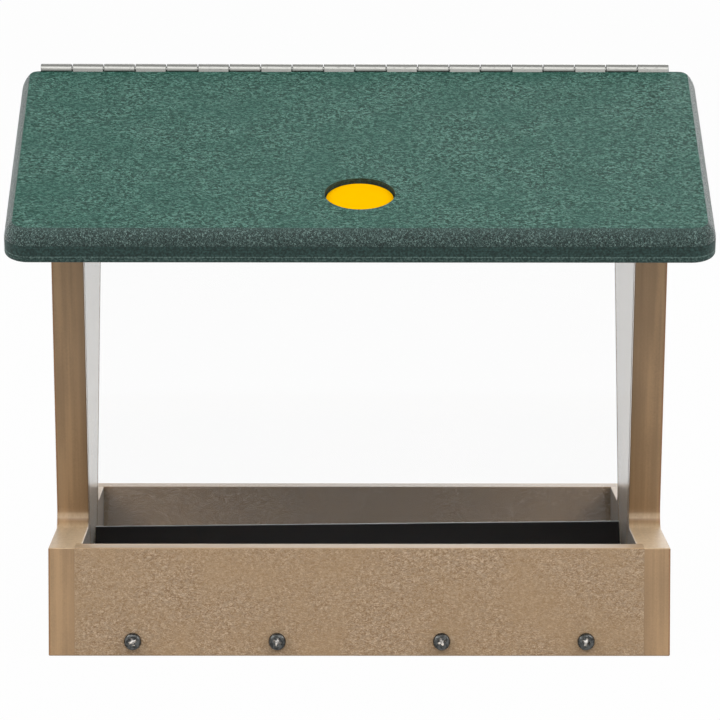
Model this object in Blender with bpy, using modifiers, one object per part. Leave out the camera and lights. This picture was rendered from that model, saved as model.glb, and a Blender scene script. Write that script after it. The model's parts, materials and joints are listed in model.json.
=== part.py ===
"""Hopper bird feeder in plastic lumber: a tray, two end panels, clear windows and a hinged roof lid.

Run it in Blender 4.5 with: blender --background --python part.py
Metres, +Z up. The origin is under the middle of the tray, on the surface that the feeder stands on.
+X runs along the ridge, and -Y is the front, where the roof board is the lid.
"""
import math

import bmesh
import bpy
from mathutils import Matrix, Vector

MM = 0.001

# Boards and how they fit
BOARD = 12.7 * MM            # thickness of the tray and end boards
FIT_GAP = 0.3 * MM           # gap between pieces that touch
EDGE_EASE = 0.8 * MM         # rounding of every sawn board edge
EDGE_STEPS = 2

# Tray
TRAY_WIDTH = 241.3 * MM      # over the outer faces of the end panels
TRAY_DEPTH = 215.9 * MM      # over the outer faces of the front and back walls
RIM_HEIGHT = 42.3 * MM
RABBET_DEPTH = 2.5 * MM      # how far a wall's end is let into an end panel
DRAIN_CORNER = 14.0 * MM     # legs of the triangle cut off each corner of the floor to let rain out

# End panels
NECK_HALF_DEPTH = 39.5 * MM  # half the panel's depth where its leaning edge meets the rim's level
SPLAY = math.radians(19.4)   # lean of the panel's front and back edges from plumb
COVE_RADIUS = 6.0 * MM
COVE_STEPS = 8

# Windows and seed diverter
WINDOW_THICKNESS = 2.4 * MM
WINDOW_INSET = 5.0 * MM      # from the panel's leaning edge to the outer face of the window
WINDOW_BOTTOM = 30.0 * MM    # height of the window's lower edge
WINDOW_HEADROOM = 1.0 * MM   # between the window's top edge and the roof board
GROOVE_DEPTH = 3.5 * MM
DIVERTER_GAP_LEFT = 0.7 * MM    # between the sheet's end and the end panel
DIVERTER_GAP_RIGHT = 1.4 * MM
DIVERTER_SHEET = 1.0 * MM
DIVERTER_LEG = 40.0 * MM     # each side of the fold, measured along the sheet
FOLD_HEIGHT_LEFT = 37.5 * MM
FOLD_HEIGHT_RIGHT = 39.9 * MM
FOLD_RADIUS = 2.0 * MM
FOLD_STEPS = 4

# Roof
PITCH = math.radians(22.5)
ROOF_WIDTH = 272.0 * MM
ROOF_BOARD = 13.5 * MM
ROOF_LENGTH = 145.1 * MM     # down the top face of one board, from ridge to eave
RIDGE_HEIGHT = 222.6 * MM    # upper edge of the plumb ridge faces
RIDGE_SLOT = 5.0 * MM        # between the two ridge faces
EAVE_CORNER_RADIUS = 9.5 * MM
EAVE_CORNER_STEPS = 8
RIDGE_CORNER_RADIUS = 2.8 * MM
RIDGE_CORNER_STEPS = 3
NOSE_RADIUS = 9.525 * MM     # router profile along the ends and the eave
NOSE_HEIGHT = 7.1 * MM       # how far down the edge the profile reaches
NOSE_STEPS = 6
UNDER_EASE = 1.0 * MM        # rounding of the roof board's lower edges
UNDER_STEPS = 3

# Badge, a bare disc in a round recess near the eave
BADGE_DIAMETER = 26.1 * MM
BADGE_THICKNESS = 1.0 * MM
BADGE_PLAY = 0.6 * MM        # between the disc's rim and the recess
BADGE_SUNK = 1.9 * MM        # the disc's face lies this far below the roof's face
BADGE_FROM_EAVE = 32.9 * MM
ROUND_STEPS = 48

# Continuous hinge
PIN_DIAMETER = 2.4 * MM
PIN_PLAY = 0.1 * MM          # radial clearance of the pin in the knuckles
LEAF_THICKNESS = 0.9 * MM
LEAF_DROP = 12.0 * MM        # from the pin's axis to the leaf's lower edge
KNUCKLE_PITCH = 12.7 * MM
KNUCKLE_COUNT = 20
KNUCKLE_GAP = 0.4 * MM
KNUCKLE_STEPS = 16
HINGE_OFFSET = -1.6 * MM     # the hinge sits a little to the left of the roof's middle
AXIS_RISE = 0.9 * MM         # pin's axis above the ridge edges

# Screws
SHANK_DIAMETER = 3.0 * MM
POINT_LENGTH = 3.0 * MM
PAN_DIAMETER = 6.7 * MM
PAN_HEIGHT = 2.4 * MM
SUNK_HEAD_DIAMETER = 6.2 * MM   # the end panels' countersunk screws
SUNK_HEAD_HEIGHT = 1.8 * MM
LEAF_HEAD_DIAMETER = 5.2 * MM   # the hinge leaves' countersunk screws
LEAF_HEAD_HEIGHT = 1.2 * MM
LONG_SCREW = 25.0 * MM
SHORT_SCREW = 11.0 * MM
RECESS_WIDTH = 0.9 * MM      # of each arm of the cross
RECESS_SPAN = 3.6 * MM
RECESS_DEPTH = 1.3 * MM
SUNK_RECESS_DEPTH = 1.0 * MM
LEAF_RECESS_SPAN = 3.0 * MM  # the hinge screws take a smaller driver
LEAF_RECESS_DEPTH = 0.8 * MM
SCREW_STEPS = 12
FLOOR_SCREW_HEIGHT = 5.8 * MM
FLOOR_SCREWS_X = (31.9 * MM, 88.0 * MM)
CORNER_SCREWS_Z = (14.0 * MM, 32.0 * MM)
END_FLOOR_SCREW_Y = 42.0 * MM
ROOF_SCREWS_RUN = (34.0 * MM, 72.0 * MM)   # down the back roof board from the ridge
HINGE_SCREWS_X = (31.75 * MM, 95.25 * MM)
HINGE_SCREW_DROP = 7.2 * MM

# Worked out from the sizes above
END_X = TRAY_WIDTH / 2                     # outer face of an end panel
INNER_X = END_X - BOARD                    # inner face of an end panel
WALL_Y = TRAY_DEPTH / 2                    # outer face of a tray wall
INNER_Y = WALL_Y - BOARD
AXIS_HEIGHT = RIDGE_HEIGHT + AXIS_RISE
BORE_RADIUS = PIN_DIAMETER / 2 + PIN_PLAY
KNUCKLE_RADIUS = BORE_RADIUS + LEAF_THICKNESS
HINGE_LENGTH = KNUCKLE_PITCH * KNUCKLE_COUNT
RIDGE_EDGE_Y = RIDGE_SLOT / 2
ROOF_DROP = ROOF_BOARD / math.cos(PITCH)   # the roof board's thickness measured plumb
GABLE_APEX = RIDGE_HEIGHT - ROOF_DROP + RIDGE_EDGE_Y * math.tan(PITCH)   # where the undersides meet
HOLE_RADIUS = SHANK_DIAMETER / 2 + FIT_GAP
OVERCUT = 2.0 * MM                         # how far a cutter stands out of what it cuts
WELD = 0.001 * MM                          # points closer than this are one


def remove_old_objects():
    for old in list(bpy.data.objects):
        bpy.data.objects.remove(old, do_unlink=True)


def new_collection(name):
    collection = bpy.data.collections.new(name)
    bpy.context.scene.collection.children.link(collection)
    return collection


def make_material(name, colour, roughness, metallic=0.0, alpha=1.0):
    material = bpy.data.materials.new(name)
    material.use_nodes = True
    shader = material.node_tree.nodes["Principled BSDF"]
    shader.inputs["Base Color"].default_value = (*colour, 1.0)
    shader.inputs["Roughness"].default_value = roughness
    shader.inputs["Metallic"].default_value = metallic
    shader.inputs["Alpha"].default_value = alpha
    return material


remove_old_objects()
FEEDER = new_collection("hopper_bird_feeder")
CUTTERS = new_collection("cutters")
TAN_BOARD = make_material("tan_board", (0.38, 0.27, 0.17), 0.6)
GREEN_BOARD = make_material("green_board", (0.06, 0.19, 0.14), 0.55)
CLEAR_SHEET = make_material("clear_sheet", (0.9, 0.92, 0.92), 0.05, alpha=0.25)
BLACK_SHEET = make_material("black_sheet", (0.015, 0.015, 0.017), 0.4)
YELLOW_DISC = make_material("yellow_disc", (1.0, 0.52, 0.0), 0.35)
ALUMINIUM = make_material("aluminium", (0.8, 0.8, 0.8), 0.3, metallic=1.0)
SCREW_STEEL = make_material("screw_steel", (0.25, 0.25, 0.24), 0.35, metallic=1.0)


def place(name, mesh, material):
    """Put a mesh into the feeder as one named piece."""
    piece = bpy.data.objects.new(name, mesh)
    mesh.materials.clear()
    mesh.materials.append(material)
    FEEDER.objects.link(piece)
    return piece


def mesh_from(bm, name):
    mesh = bpy.data.meshes.new(name)
    bm.to_mesh(mesh)
    bm.free()
    return mesh


def mesh_of(helper, name):
    """The helper's shape with its modifiers, as a welded mesh in world space; the helper is removed."""
    bpy.context.view_layer.update()
    shaped = helper.evaluated_get(bpy.context.evaluated_depsgraph_get())
    mesh = bpy.data.meshes.new_from_object(shaped)
    mesh.name = name
    mesh.transform(helper.matrix_world)
    bm = bmesh.new()
    bm.from_mesh(mesh)
    bmesh.ops.remove_doubles(bm, verts=bm.verts, dist=WELD)
    bmesh.ops.recalc_face_normals(bm, faces=bm.faces)
    bm.to_mesh(mesh)
    bm.free()
    data = helper.data
    bpy.data.objects.remove(helper, do_unlink=True)
    if isinstance(data, bpy.types.Curve):
        bpy.data.curves.remove(data)
    return mesh


def smooth(mesh):
    mesh.shade_smooth()
    mesh.set_sharp_from_angle(angle=math.radians(35))


def add_box(bm, low, high):
    corners = bmesh.ops.create_cube(bm, size=1.0)["verts"]
    low, high = Vector(low), Vector(high)
    bmesh.ops.scale(bm, vec=high - low, verts=corners)
    bmesh.ops.translate(bm, vec=(low + high) / 2, verts=corners)
    return corners


def add_rod(bm, start, end, radius, steps=SCREW_STEPS, end_radius=None):
    start, end = Vector(start), Vector(end)
    along = end - start
    turn = along.to_track_quat("Z", "Y").to_matrix().to_4x4()
    bmesh.ops.create_cone(bm, cap_ends=True, segments=steps, radius1=radius,
                          radius2=radius if end_radius is None else end_radius,
                          depth=along.length, matrix=Matrix.Translation((start + end) / 2) @ turn)


def outline_mesh(name, outlines, thickness, ease=0.0):
    """Flat outlines in a local XY plane, given a thickness along Z, as a mesh."""
    curve = bpy.data.curves.new(name, "CURVE")
    curve.dimensions = "2D"
    curve.fill_mode = "BOTH"
    curve.render_resolution_u = 0
    for points in outlines:
        spline = curve.splines.new("POLY")
        spline.points.add(len(points) - 1)
        for point, (across, up) in zip(spline.points, points):
            point.co = (across, up, 0.0, 1.0)
        spline.use_cyclic_u = True
    curve.extrude = thickness / 2 - ease
    curve.bevel_depth = ease
    curve.bevel_resolution = EDGE_STEPS - 2
    curve.offset = -ease
    helper = bpy.data.objects.new(name, curve)
    bpy.context.scene.collection.objects.link(helper)
    return mesh_of(helper, name)


def turned_mesh(name, profile, steps):
    """A profile of (radius, height) points, top to bottom, turned about Z."""
    mesh = bpy.data.meshes.new(name)
    points = [(radius, 0.0, height) for radius, height in profile]
    mesh.from_pydata(points, [(i, i + 1) for i in range(len(points) - 1)], [])
    helper = bpy.data.objects.new(name, mesh)
    bpy.context.scene.collection.objects.link(helper)
    screw = helper.modifiers.new("turn", "SCREW")
    screw.steps = steps
    screw.render_steps = steps
    screw.use_merge_vertices = True
    screw.merge_threshold = WELD
    return mesh_of(helper, name)


def make_cutter(name, bm):
    cutter = bpy.data.objects.new(name, mesh_from(bm, name))
    cutter.display_type = "WIRE"
    cutter.hide_render = True
    CUTTERS.objects.link(cutter)
    return cutter


def combine(piece, other, operation):
    modifier = piece.modifiers.new(other.name, "BOOLEAN")
    modifier.operation = operation
    modifier.object = other
    modifier.solver = "EXACT"


def board(name, low, high, corner_cut=0.0):
    """A straight board with its edges eased, and its four upright corners cut off if asked."""
    bm = bmesh.new()
    add_box(bm, low, high)
    if corner_cut:
        uprights = [e for e in bm.edges if abs(e.verts[0].co.z - e.verts[1].co.z) > MM]
        bmesh.ops.bevel(bm, geom=uprights, offset=corner_cut, segments=1, profile=0.5, affect="EDGES")
    bmesh.ops.bevel(bm, geom=bm.edges[:], offset=EDGE_EASE, segments=EDGE_STEPS, profile=0.5, affect="EDGES")
    return place(name, mesh_from(bm, name), TAN_BOARD)


def arc(centre, radius, start, end, steps):
    """Points of an arc, both ends included; angles in radians."""
    return [(centre[0] + radius * math.cos(start + (end - start) * i / steps),
             centre[1] + radius * math.sin(start + (end - start) * i / steps)) for i in range(steps + 1)]


def edge_half_depth(height):
    """Half the end panel's depth on its leaning edge, at a height."""
    return NECK_HALF_DEPTH + (height - RIM_HEIGHT) * math.tan(SPLAY)


def slope_frame(side):
    """From a roof board's own frame to the world: x along the ridge, y up the slope, z out of its top.

    The origin is on the hinge's axis. side is -1 for the front board and +1 for the back one.
    """
    turn = Matrix.Rotation(0.0 if side < 0 else math.pi, 4, "Z") @ Matrix.Rotation(PITCH, 4, "X")
    return Matrix.Translation((0.0, 0.0, AXIS_HEIGHT)) @ turn


# Upper ridge edge in a roof board's own frame
RIDGE_LOCAL_Y = -RIDGE_EDGE_Y * math.cos(PITCH) - AXIS_RISE * math.sin(PITCH)
ROOF_TOP_LOCAL_Z = RIDGE_EDGE_Y * math.sin(PITCH) - AXIS_RISE * math.cos(PITCH)
EAVE_LOCAL_Y = RIDGE_LOCAL_Y - ROOF_LENGTH


def end_panel_outline():
    """Outline in (y, z): the tray's shoulder, a cove, the leaning edge and the gable."""
    lean = math.pi / 2 - SPLAY                     # angle of the leaning edge above level, facing front
    reach = COVE_RADIUS / math.tan(lean / 2)       # from the corner to where the cove starts
    centre = (NECK_HALF_DEPTH + reach, RIM_HEIGHT + COVE_RADIUS)
    cove = arc(centre, COVE_RADIUS, -math.pi / 2, -math.pi - SPLAY, COVE_STEPS)
    # where the leaning edge meets the roof's underside, less the fit gap
    top = GABLE_APEX - FIT_GAP / math.cos(PITCH)
    lean_y = NECK_HALF_DEPTH - RIM_HEIGHT * math.tan(SPLAY)
    eave_z = (top - lean_y * math.tan(PITCH)) / (1 + math.tan(SPLAY) * math.tan(PITCH))
    half = [(WALL_Y, 0.0), (WALL_Y, RIM_HEIGHT)] + cove + [(edge_half_depth(eave_z), eave_z)]
    return half + [(0.0, top)] + [(-y, z) for y, z in reversed(half)]


def window_span():
    """Lower and upper ends of a window, measured up along the leaning edge from the rim's level."""
    lean, slope = SPLAY, math.tan(PITCH)
    foot = RIM_HEIGHT + WINDOW_INSET * math.sin(lean)
    low = (WINDOW_BOTTOM - foot) / math.cos(lean)
    outer_y = NECK_HALF_DEPTH - WINDOW_INSET * math.cos(lean)
    meet = (GABLE_APEX - outer_y * slope - foot) / (math.cos(lean) + math.sin(lean) * slope)
    return low, meet - WINDOW_HEADROOM


def window_box(side, half_width, low, high, ease_out):
    """A box that leans with the end panel's edge, widened by ease_out on both faces."""
    bm = bmesh.new()
    face = WINDOW_INSET
    add_box(bm, (-half_width, face - ease_out, low), (half_width, face + WINDOW_THICKNESS + ease_out, high))
    # the local y runs inwards from the leaning edge, the local z up along it
    lean = Matrix.Rotation(-SPLAY * side, 4, "X")
    flip = Matrix.Diagonal((1.0, -side, 1.0, 1.0))
    corner = Matrix.Translation((0.0, side * NECK_HALF_DEPTH, RIM_HEIGHT))
    bmesh.ops.transform(bm, matrix=corner @ lean @ flip, verts=bm.verts)
    bmesh.ops.recalc_face_normals(bm, faces=bm.faces)
    return bm


def make_end_panels():
    outline = end_panel_outline()
    to_world = Matrix(((0, 0, 1, 0), (1, 0, 0, 0), (0, 1, 0, 0), (0, 0, 0, 1)))
    low, high = window_span()
    panels = []
    for name, side in (("side_panel_left", -1), ("side_panel_right", 1)):
        mesh = outline_mesh(name, [outline], BOARD, EDGE_EASE)
        mesh.transform(Matrix.Translation((side * (END_X - BOARD / 2), 0.0, 0.0)) @ to_world)
        panel = place(name, mesh, TAN_BOARD)
        bm = bmesh.new()
        for y_side in (-1, 1):
            ends = sorted((side * (INNER_X - OVERCUT), side * (INNER_X + RABBET_DEPTH)))
            depths = sorted((y_side * (INNER_Y - FIT_GAP), y_side * (WALL_Y + OVERCUT)))
            add_box(bm, (ends[0], depths[0], -OVERCUT), (ends[1], depths[1], RIM_HEIGHT + OVERCUT))
        combine(panel, make_cutter(name + "_rabbets", bm), "DIFFERENCE")
        for label, y_side in (("front", -1), ("back", 1)):
            bm = window_box(y_side, GROOVE_DEPTH / 2 + OVERCUT / 2, low - FIT_GAP, high + BOARD, FIT_GAP)
            middle = side * (INNER_X + (GROOVE_DEPTH - OVERCUT) / 2)
            bmesh.ops.translate(bm, vec=(middle, 0.0, 0.0), verts=bm.verts)
            combine(panel, make_cutter(f"{name}_{label}_groove", bm), "DIFFERENCE")
        panels.append(panel)
    return panels


def make_tray():
    wall_end = INNER_X + RABBET_DEPTH - FIT_GAP
    front = board("tray_front_wall", (-wall_end, -WALL_Y, 0.0), (wall_end, -INNER_Y, RIM_HEIGHT))
    back = board("tray_back_wall", (-wall_end, INNER_Y, 0.0), (wall_end, WALL_Y, RIM_HEIGHT))
    floor_x, floor_y = INNER_X - FIT_GAP, INNER_Y - FIT_GAP
    floor = board("tray_floor", (-floor_x, -floor_y, 0.0), (floor_x, floor_y, BOARD), DRAIN_CORNER)
    return front, back, floor


def make_windows():
    low, high = window_span()
    half_width = INNER_X + GROOVE_DEPTH - FIT_GAP
    for name, side in (("window_front", -1), ("window_back", 1)):
        bm = window_box(side, half_width, low, high, 0.0)
        place(name, mesh_from(bm, name), CLEAR_SHEET)


def fold_section(fold_height):
    """The folded sheet's middle line in (y, z) at one end, from the front foot to the back foot."""
    floor_z = BOARD + FIT_GAP + DIVERTER_SHEET / 2
    rise = fold_height - DIVERTER_SHEET / 2 - floor_z
    slope = math.asin(rise / DIVERTER_LEG)
    foot = DIVERTER_LEG * math.cos(slope)
    centre_z = floor_z + rise - FOLD_RADIUS / math.cos(slope)
    bend = arc((0.0, centre_z), FOLD_RADIUS, math.pi / 2 + slope, math.pi / 2 - slope, FOLD_STEPS)
    lift = centre_z + FOLD_RADIUS - (floor_z + rise)
    return [(-foot, floor_z - lift)] + [(y, z - lift) for y, z in bend] + [(foot, floor_z - lift)]


def make_diverter():
    """A black sheet folded along its middle that sends the seed to both troughs."""
    bm = bmesh.new()
    ends = []
    for x, height in ((DIVERTER_GAP_LEFT - INNER_X, FOLD_HEIGHT_LEFT),
                      (INNER_X - DIVERTER_GAP_RIGHT, FOLD_HEIGHT_RIGHT)):
        section = fold_section(height)
        lowest = min(z for _, z in section)
        settle = BOARD + FIT_GAP + DIVERTER_SHEET - lowest
        verts = [bm.verts.new((x, y, z + settle)) for y, z in section]
        ends.append([bm.edges.new(pair) for pair in zip(verts, verts[1:])])
    bmesh.ops.bridge_loops(bm, edges=ends[0] + ends[1])
    bmesh.ops.recalc_face_normals(bm, faces=bm.faces)
    diverter = place("seed_diverter", mesh_from(bm, "seed_diverter"), BLACK_SHEET)
    sheet = diverter.modifiers.new("sheet", "SOLIDIFY")
    sheet.thickness = DIVERTER_SHEET
    sheet.offset = 0.0
    sheet.use_even_offset = True
    smooth(diverter.data)


def roof_board_mesh(name):
    """A roof board in its own frame, with a rounded nose on three edges and a plumb ridge face."""
    bm = bmesh.new()
    ridge_stock = ROOF_BOARD * math.tan(PITCH) + NOSE_RADIUS + EAVE_CORNER_RADIUS
    shoulder = ROOF_TOP_LOCAL_Z - NOSE_HEIGHT
    add_box(bm, (-ROOF_WIDTH / 2, EAVE_LOCAL_Y, ROOF_TOP_LOCAL_Z - ROOF_BOARD),
            (ROOF_WIDTH / 2, RIDGE_LOCAL_Y + ridge_stock, shoulder))
    corners = [e for e in bm.edges if abs(e.verts[0].co.z - e.verts[1].co.z) > MM
               and e.verts[0].co.y < RIDGE_LOCAL_Y]
    bmesh.ops.bevel(bm, geom=corners, offset=EAVE_CORNER_RADIUS, segments=EAVE_CORNER_STEPS,
                    profile=0.5, affect="EDGES")
    under = [e for e in bm.edges if max(v.co.z for v in e.verts) < shoulder - MM]
    bmesh.ops.bevel(bm, geom=under, offset=UNDER_EASE, segments=UNDER_STEPS, profile=0.5, affect="EDGES")
    top = max(bm.faces, key=lambda face: face.calc_center_median().z)
    for i in range(NOSE_STEPS):
        low, high = (NOSE_HEIGHT * k / NOSE_STEPS for k in (i, i + 1))
        inset = math.sqrt(NOSE_RADIUS ** 2 - low ** 2) - math.sqrt(NOSE_RADIUS ** 2 - high ** 2)
        bmesh.ops.inset_region(bm, faces=[top], thickness=inset, depth=high - low, use_even_offset=True)
    cut_ridge_face(bm)
    return mesh_from(bm, name)


def cut_ridge_face(bm):
    """Saw the ridge end plumb, close it and round its two upright corners."""
    plumb = Vector((0.0, math.cos(PITCH), -math.sin(PITCH)))
    ridge_edge = Vector((0.0, RIDGE_LOCAL_Y, ROOF_TOP_LOCAL_Z))
    cut = bmesh.ops.bisect_plane(bm, geom=bm.verts[:] + bm.edges[:] + bm.faces[:], plane_co=ridge_edge,
                                 plane_no=plumb, clear_outer=True, dist=WELD)
    rim = [e for e in cut["geom_cut"] if isinstance(e, bmesh.types.BMEdge)]
    face = bmesh.ops.contextual_create(bm, geom=rim)["faces"][0]
    inner = ROOF_WIDTH / 2 - 2 * NOSE_RADIUS
    uprights = [e for e in face.edges if min(abs(v.co.x) for v in e.verts) > inner
                and abs(e.verts[0].co.z - e.verts[1].co.z) > WELD]
    bmesh.ops.bevel(bm, geom=uprights, offset=RIDGE_CORNER_RADIUS, segments=RIDGE_CORNER_STEPS,
                    profile=0.5, affect="EDGES", clamp_overlap=False)
    bmesh.ops.recalc_face_normals(bm, faces=bm.faces)


def make_roof():
    pivot = bpy.data.objects.new("roof_lid_pivot", None)
    pivot.location = (0.0, 0.0, AXIS_HEIGHT)
    pivot.empty_display_size = ROOF_BOARD
    FEEDER.objects.link(pivot)
    lid = place("roof_panel_front", roof_board_mesh("roof_panel_front"), GREEN_BOARD)
    lid.parent = pivot
    lid.rotation_euler = (PITCH, 0.0, 0.0)
    fixed = place("roof_panel_back", roof_board_mesh("roof_panel_back"), GREEN_BOARD)
    fixed.matrix_world = slope_frame(1)
    badge_y = EAVE_LOCAL_Y + BADGE_FROM_EAVE
    recess_floor = ROOF_TOP_LOCAL_Z - BADGE_SUNK - BADGE_THICKNESS - FIT_GAP
    bm = bmesh.new()
    add_rod(bm, (0.0, badge_y, recess_floor), (0.0, badge_y, ROOF_TOP_LOCAL_Z + OVERCUT),
            BADGE_DIAMETER / 2 + BADGE_PLAY, ROUND_STEPS)
    bmesh.ops.transform(bm, matrix=slope_frame(-1), verts=bm.verts)
    combine(lid, make_cutter("badge_recess", bm), "DIFFERENCE")
    radius, ease = BADGE_DIAMETER / 2, BADGE_THICKNESS / 4
    profile = [(0.0, BADGE_THICKNESS), (radius - ease, BADGE_THICKNESS), (radius, BADGE_THICKNESS - ease),
               (radius, 0.0), (0.0, 0.0)]
    disc = place("badge_disc", turned_mesh("badge_disc", profile, ROUND_STEPS), YELLOW_DISC)
    disc.parent = lid
    disc.location = (0.0, badge_y, recess_floor + FIT_GAP)
    smooth(disc.data)
    return pivot, lid, fixed


def leaf_mesh():
    """The front leaf in the hinge's own frame: a plate hanging down, with every second knuckle."""
    radius, inner = KNUCKLE_RADIUS, KNUCKLE_RADIUS - LEAF_THICKNESS
    plate_top = -(KNUCKLE_RADIUS + 2 * FIT_GAP)
    tab_low = 2 * plate_top
    meet = math.acos(inner / radius)
    roll = arc((0.0, 0.0), radius, math.pi, -math.pi + meet, KNUCKLE_STEPS)
    outline = [(-radius, tab_low)] + roll + [(-inner, tab_low)]
    bore = arc((0.0, 0.0), BORE_RADIUS, 0.0, 2 * math.pi, KNUCKLE_STEPS)[:-1]
    knuckle = outline_mesh("knuckle", [outline, bore], KNUCKLE_PITCH - KNUCKLE_GAP)
    to_hinge = Matrix(((0, 0, 1, 0), (1, 0, 0, 0), (0, 1, 0, 0), (0, 0, 0, 1)))
    bm = bmesh.new()
    for i in range(1, KNUCKLE_COUNT, 2):
        x = (i + 0.5) * KNUCKLE_PITCH - HINGE_LENGTH / 2
        before = len(bm.verts)
        bm.from_mesh(knuckle)
        bm.verts.ensure_lookup_table()
        bmesh.ops.transform(bm, matrix=Matrix.Translation((x, 0.0, 0.0)) @ to_hinge, verts=bm.verts[before:])
    bpy.data.meshes.remove(knuckle)
    knuckles = make_cutter("hinge_knuckles", bm)
    bm = bmesh.new()
    add_box(bm, (-HINGE_LENGTH / 2, -radius, -LEAF_DROP), (HINGE_LENGTH / 2, -inner, plate_top))
    plate = bpy.data.objects.new("hinge_plate", mesh_from(bm, "hinge_plate"))
    bpy.context.scene.collection.objects.link(plate)
    combine(plate, knuckles, "UNION")
    return mesh_of(plate, "hinge_leaf")


def make_hinge(pivot):
    mesh = leaf_mesh()
    front = place("hinge_leaf_front", mesh, ALUMINIUM)
    front.parent = pivot
    front.location = (HINGE_OFFSET, 0.0, 0.0)
    back = place("hinge_leaf_back", mesh.copy(), ALUMINIUM)
    back.location = (HINGE_OFFSET, 0.0, AXIS_HEIGHT)
    back.rotation_euler = (0.0, 0.0, math.pi)
    bm = bmesh.new()
    half = HINGE_LENGTH / 2
    add_rod(bm, (HINGE_OFFSET - half, 0.0, AXIS_HEIGHT), (HINGE_OFFSET + half, 0.0, AXIS_HEIGHT),
            PIN_DIAMETER / 2, KNUCKLE_STEPS)
    pin = place("hinge_pin", mesh_from(bm, "hinge_pin"), ALUMINIUM)
    smooth(pin.data)
    return front, back


def screw_mesh(name, head, length, recess_top, recess_span, recess_depth):
    """A screw along Z with its head up and the head's seat at zero, with a cross recess."""
    shank = SHANK_DIAMETER / 2
    profile = head + [(shank, -length + POINT_LENGTH), (0.0, -length)]
    bm = bmesh.new()
    mesh = turned_mesh(name, profile, SCREW_STEPS)
    low, high = recess_top - recess_depth, recess_top + OVERCUT
    for across, along in ((RECESS_WIDTH, recess_span), (recess_span, RECESS_WIDTH)):
        add_box(bm, (-across / 2, -along / 2, low), (across / 2, along / 2, high))
    cross = make_cutter(name + "_recess", bm)
    helper = bpy.data.objects.new(name, mesh)
    bpy.context.scene.collection.objects.link(helper)
    combine(helper, cross, "DIFFERENCE")
    helper.modifiers[0].use_self = True
    shaped = mesh_of(helper, name)
    smooth(shaped)
    return shaped


def pan_screw_mesh():
    radius, shank = PAN_DIAMETER / 2, SHANK_DIAMETER / 2
    crown = [(0.0, PAN_HEIGHT), (radius * 0.6, PAN_HEIGHT * 0.94), (radius * 0.86, PAN_HEIGHT * 0.72),
             (radius, PAN_HEIGHT * 0.35), (radius, 0.0), (shank, 0.0)]
    return screw_mesh("pan_screw", crown, LONG_SCREW, PAN_HEIGHT, RECESS_SPAN, RECESS_DEPTH)


def sunk_screw_mesh():
    cone = [(0.0, 0.0), (SUNK_HEAD_DIAMETER / 2, 0.0), (SHANK_DIAMETER / 2, -SUNK_HEAD_HEIGHT)]
    return screw_mesh("sunk_screw", cone, LONG_SCREW, 0.0, RECESS_SPAN, SUNK_RECESS_DEPTH)


def leaf_screw_mesh():
    cone = [(0.0, 0.0), (LEAF_HEAD_DIAMETER / 2, 0.0), (SHANK_DIAMETER / 2, -LEAF_HEAD_HEIGHT)]
    return screw_mesh("leaf_screw", cone, SHORT_SCREW, 0.0, LEAF_RECESS_SPAN, LEAF_RECESS_DEPTH)


class Fixing:
    """One screw: where its head seats, which way the head faces, and the pieces it goes through."""

    def __init__(self, name, seat, facing, pieces, parent=None):
        self.name = name
        self.seat = Vector(seat)
        self.facing = Vector(facing).normalized()
        self.pieces = pieces
        self.parent = parent


def wall_fixings(front, back, floor):
    """Screws through the tray's walls into the edges of the floor."""
    fixings = []
    for label, side, wall in (("front", -1, front), ("back", 1, back)):
        spots = sorted([-x for x in FLOOR_SCREWS_X] + list(FLOOR_SCREWS_X))
        for i, x in enumerate(spots):
            seat = (x, side * (WALL_Y + FIT_GAP), FLOOR_SCREW_HEIGHT)
            fixings.append(Fixing(f"tray_{label}_screw_{i + 1}", seat, (0, side, 0), (wall, floor)))
    return fixings


def end_fixings(front, back, floor, panels):
    """Flush screws through the end panels into the tray's walls and floor."""
    fixings = []
    for label, side, panel in (("left", -1, panels[0]), ("right", 1, panels[1])):
        seat_x = side * END_X
        for corner, y_side, wall in (("front", -1, front), ("back", 1, back)):
            for level, z in zip(("lower", "upper"), CORNER_SCREWS_Z):
                name = f"{label}_{corner}_{level}_screw"
                seat = (seat_x, y_side * (WALL_Y - BOARD / 2), z)
                fixings.append(Fixing(name, seat, (side, 0, 0), (panel, wall)))
        for corner, y_side in (("front", -1), ("back", 1)):
            seat = (seat_x, y_side * END_FLOOR_SCREW_Y, BOARD / 2)
            fixings.append(Fixing(f"{label}_floor_{corner}_screw", seat, (side, 0, 0), (panel, floor)))
    return fixings


def roof_fixings(fixed, panels):
    fixings = []
    frame = slope_frame(1)
    outward = frame.to_3x3() @ Vector((0.0, 0.0, 1.0))
    for label, side, panel in (("left", -1, panels[0]), ("right", 1, panels[1])):
        for level, run in zip(("upper", "lower"), ROOF_SCREWS_RUN):
            spot = (-side * (END_X - BOARD / 2), RIDGE_LOCAL_Y - run, ROOF_TOP_LOCAL_Z + FIT_GAP)
            fixings.append(Fixing(f"roof_{label}_{level}_screw", frame @ Vector(spot), outward, (fixed, panel)))
    return fixings


def drill(fixings, length, head_radius=0.0, head_height=0.0):
    """Cut every fixing's hole out of the pieces it goes through, one cutter for each piece."""
    holes = {}
    for fixing in fixings:
        for piece in fixing.pieces:
            holes.setdefault(piece, []).append(fixing)
    for piece, through in holes.items():
        bm = bmesh.new()
        for fixing in through:
            tip = fixing.seat - fixing.facing * (length + FIT_GAP)
            mouth = fixing.seat + fixing.facing * (OVERCUT / 2)
            add_rod(bm, tip, mouth, HOLE_RADIUS)
        combine(piece, make_cutter(piece.name + "_holes", bm), "DIFFERENCE")
        if head_radius:
            bm = bmesh.new()
            for fixing in through:
                seat = fixing.seat + fixing.facing * FIT_GAP
                foot = fixing.seat - fixing.facing * head_height
                add_rod(bm, foot, seat, HOLE_RADIUS, end_radius=head_radius + FIT_GAP)
            combine(piece, make_cutter(piece.name + "_sinks", bm), "DIFFERENCE")


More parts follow.
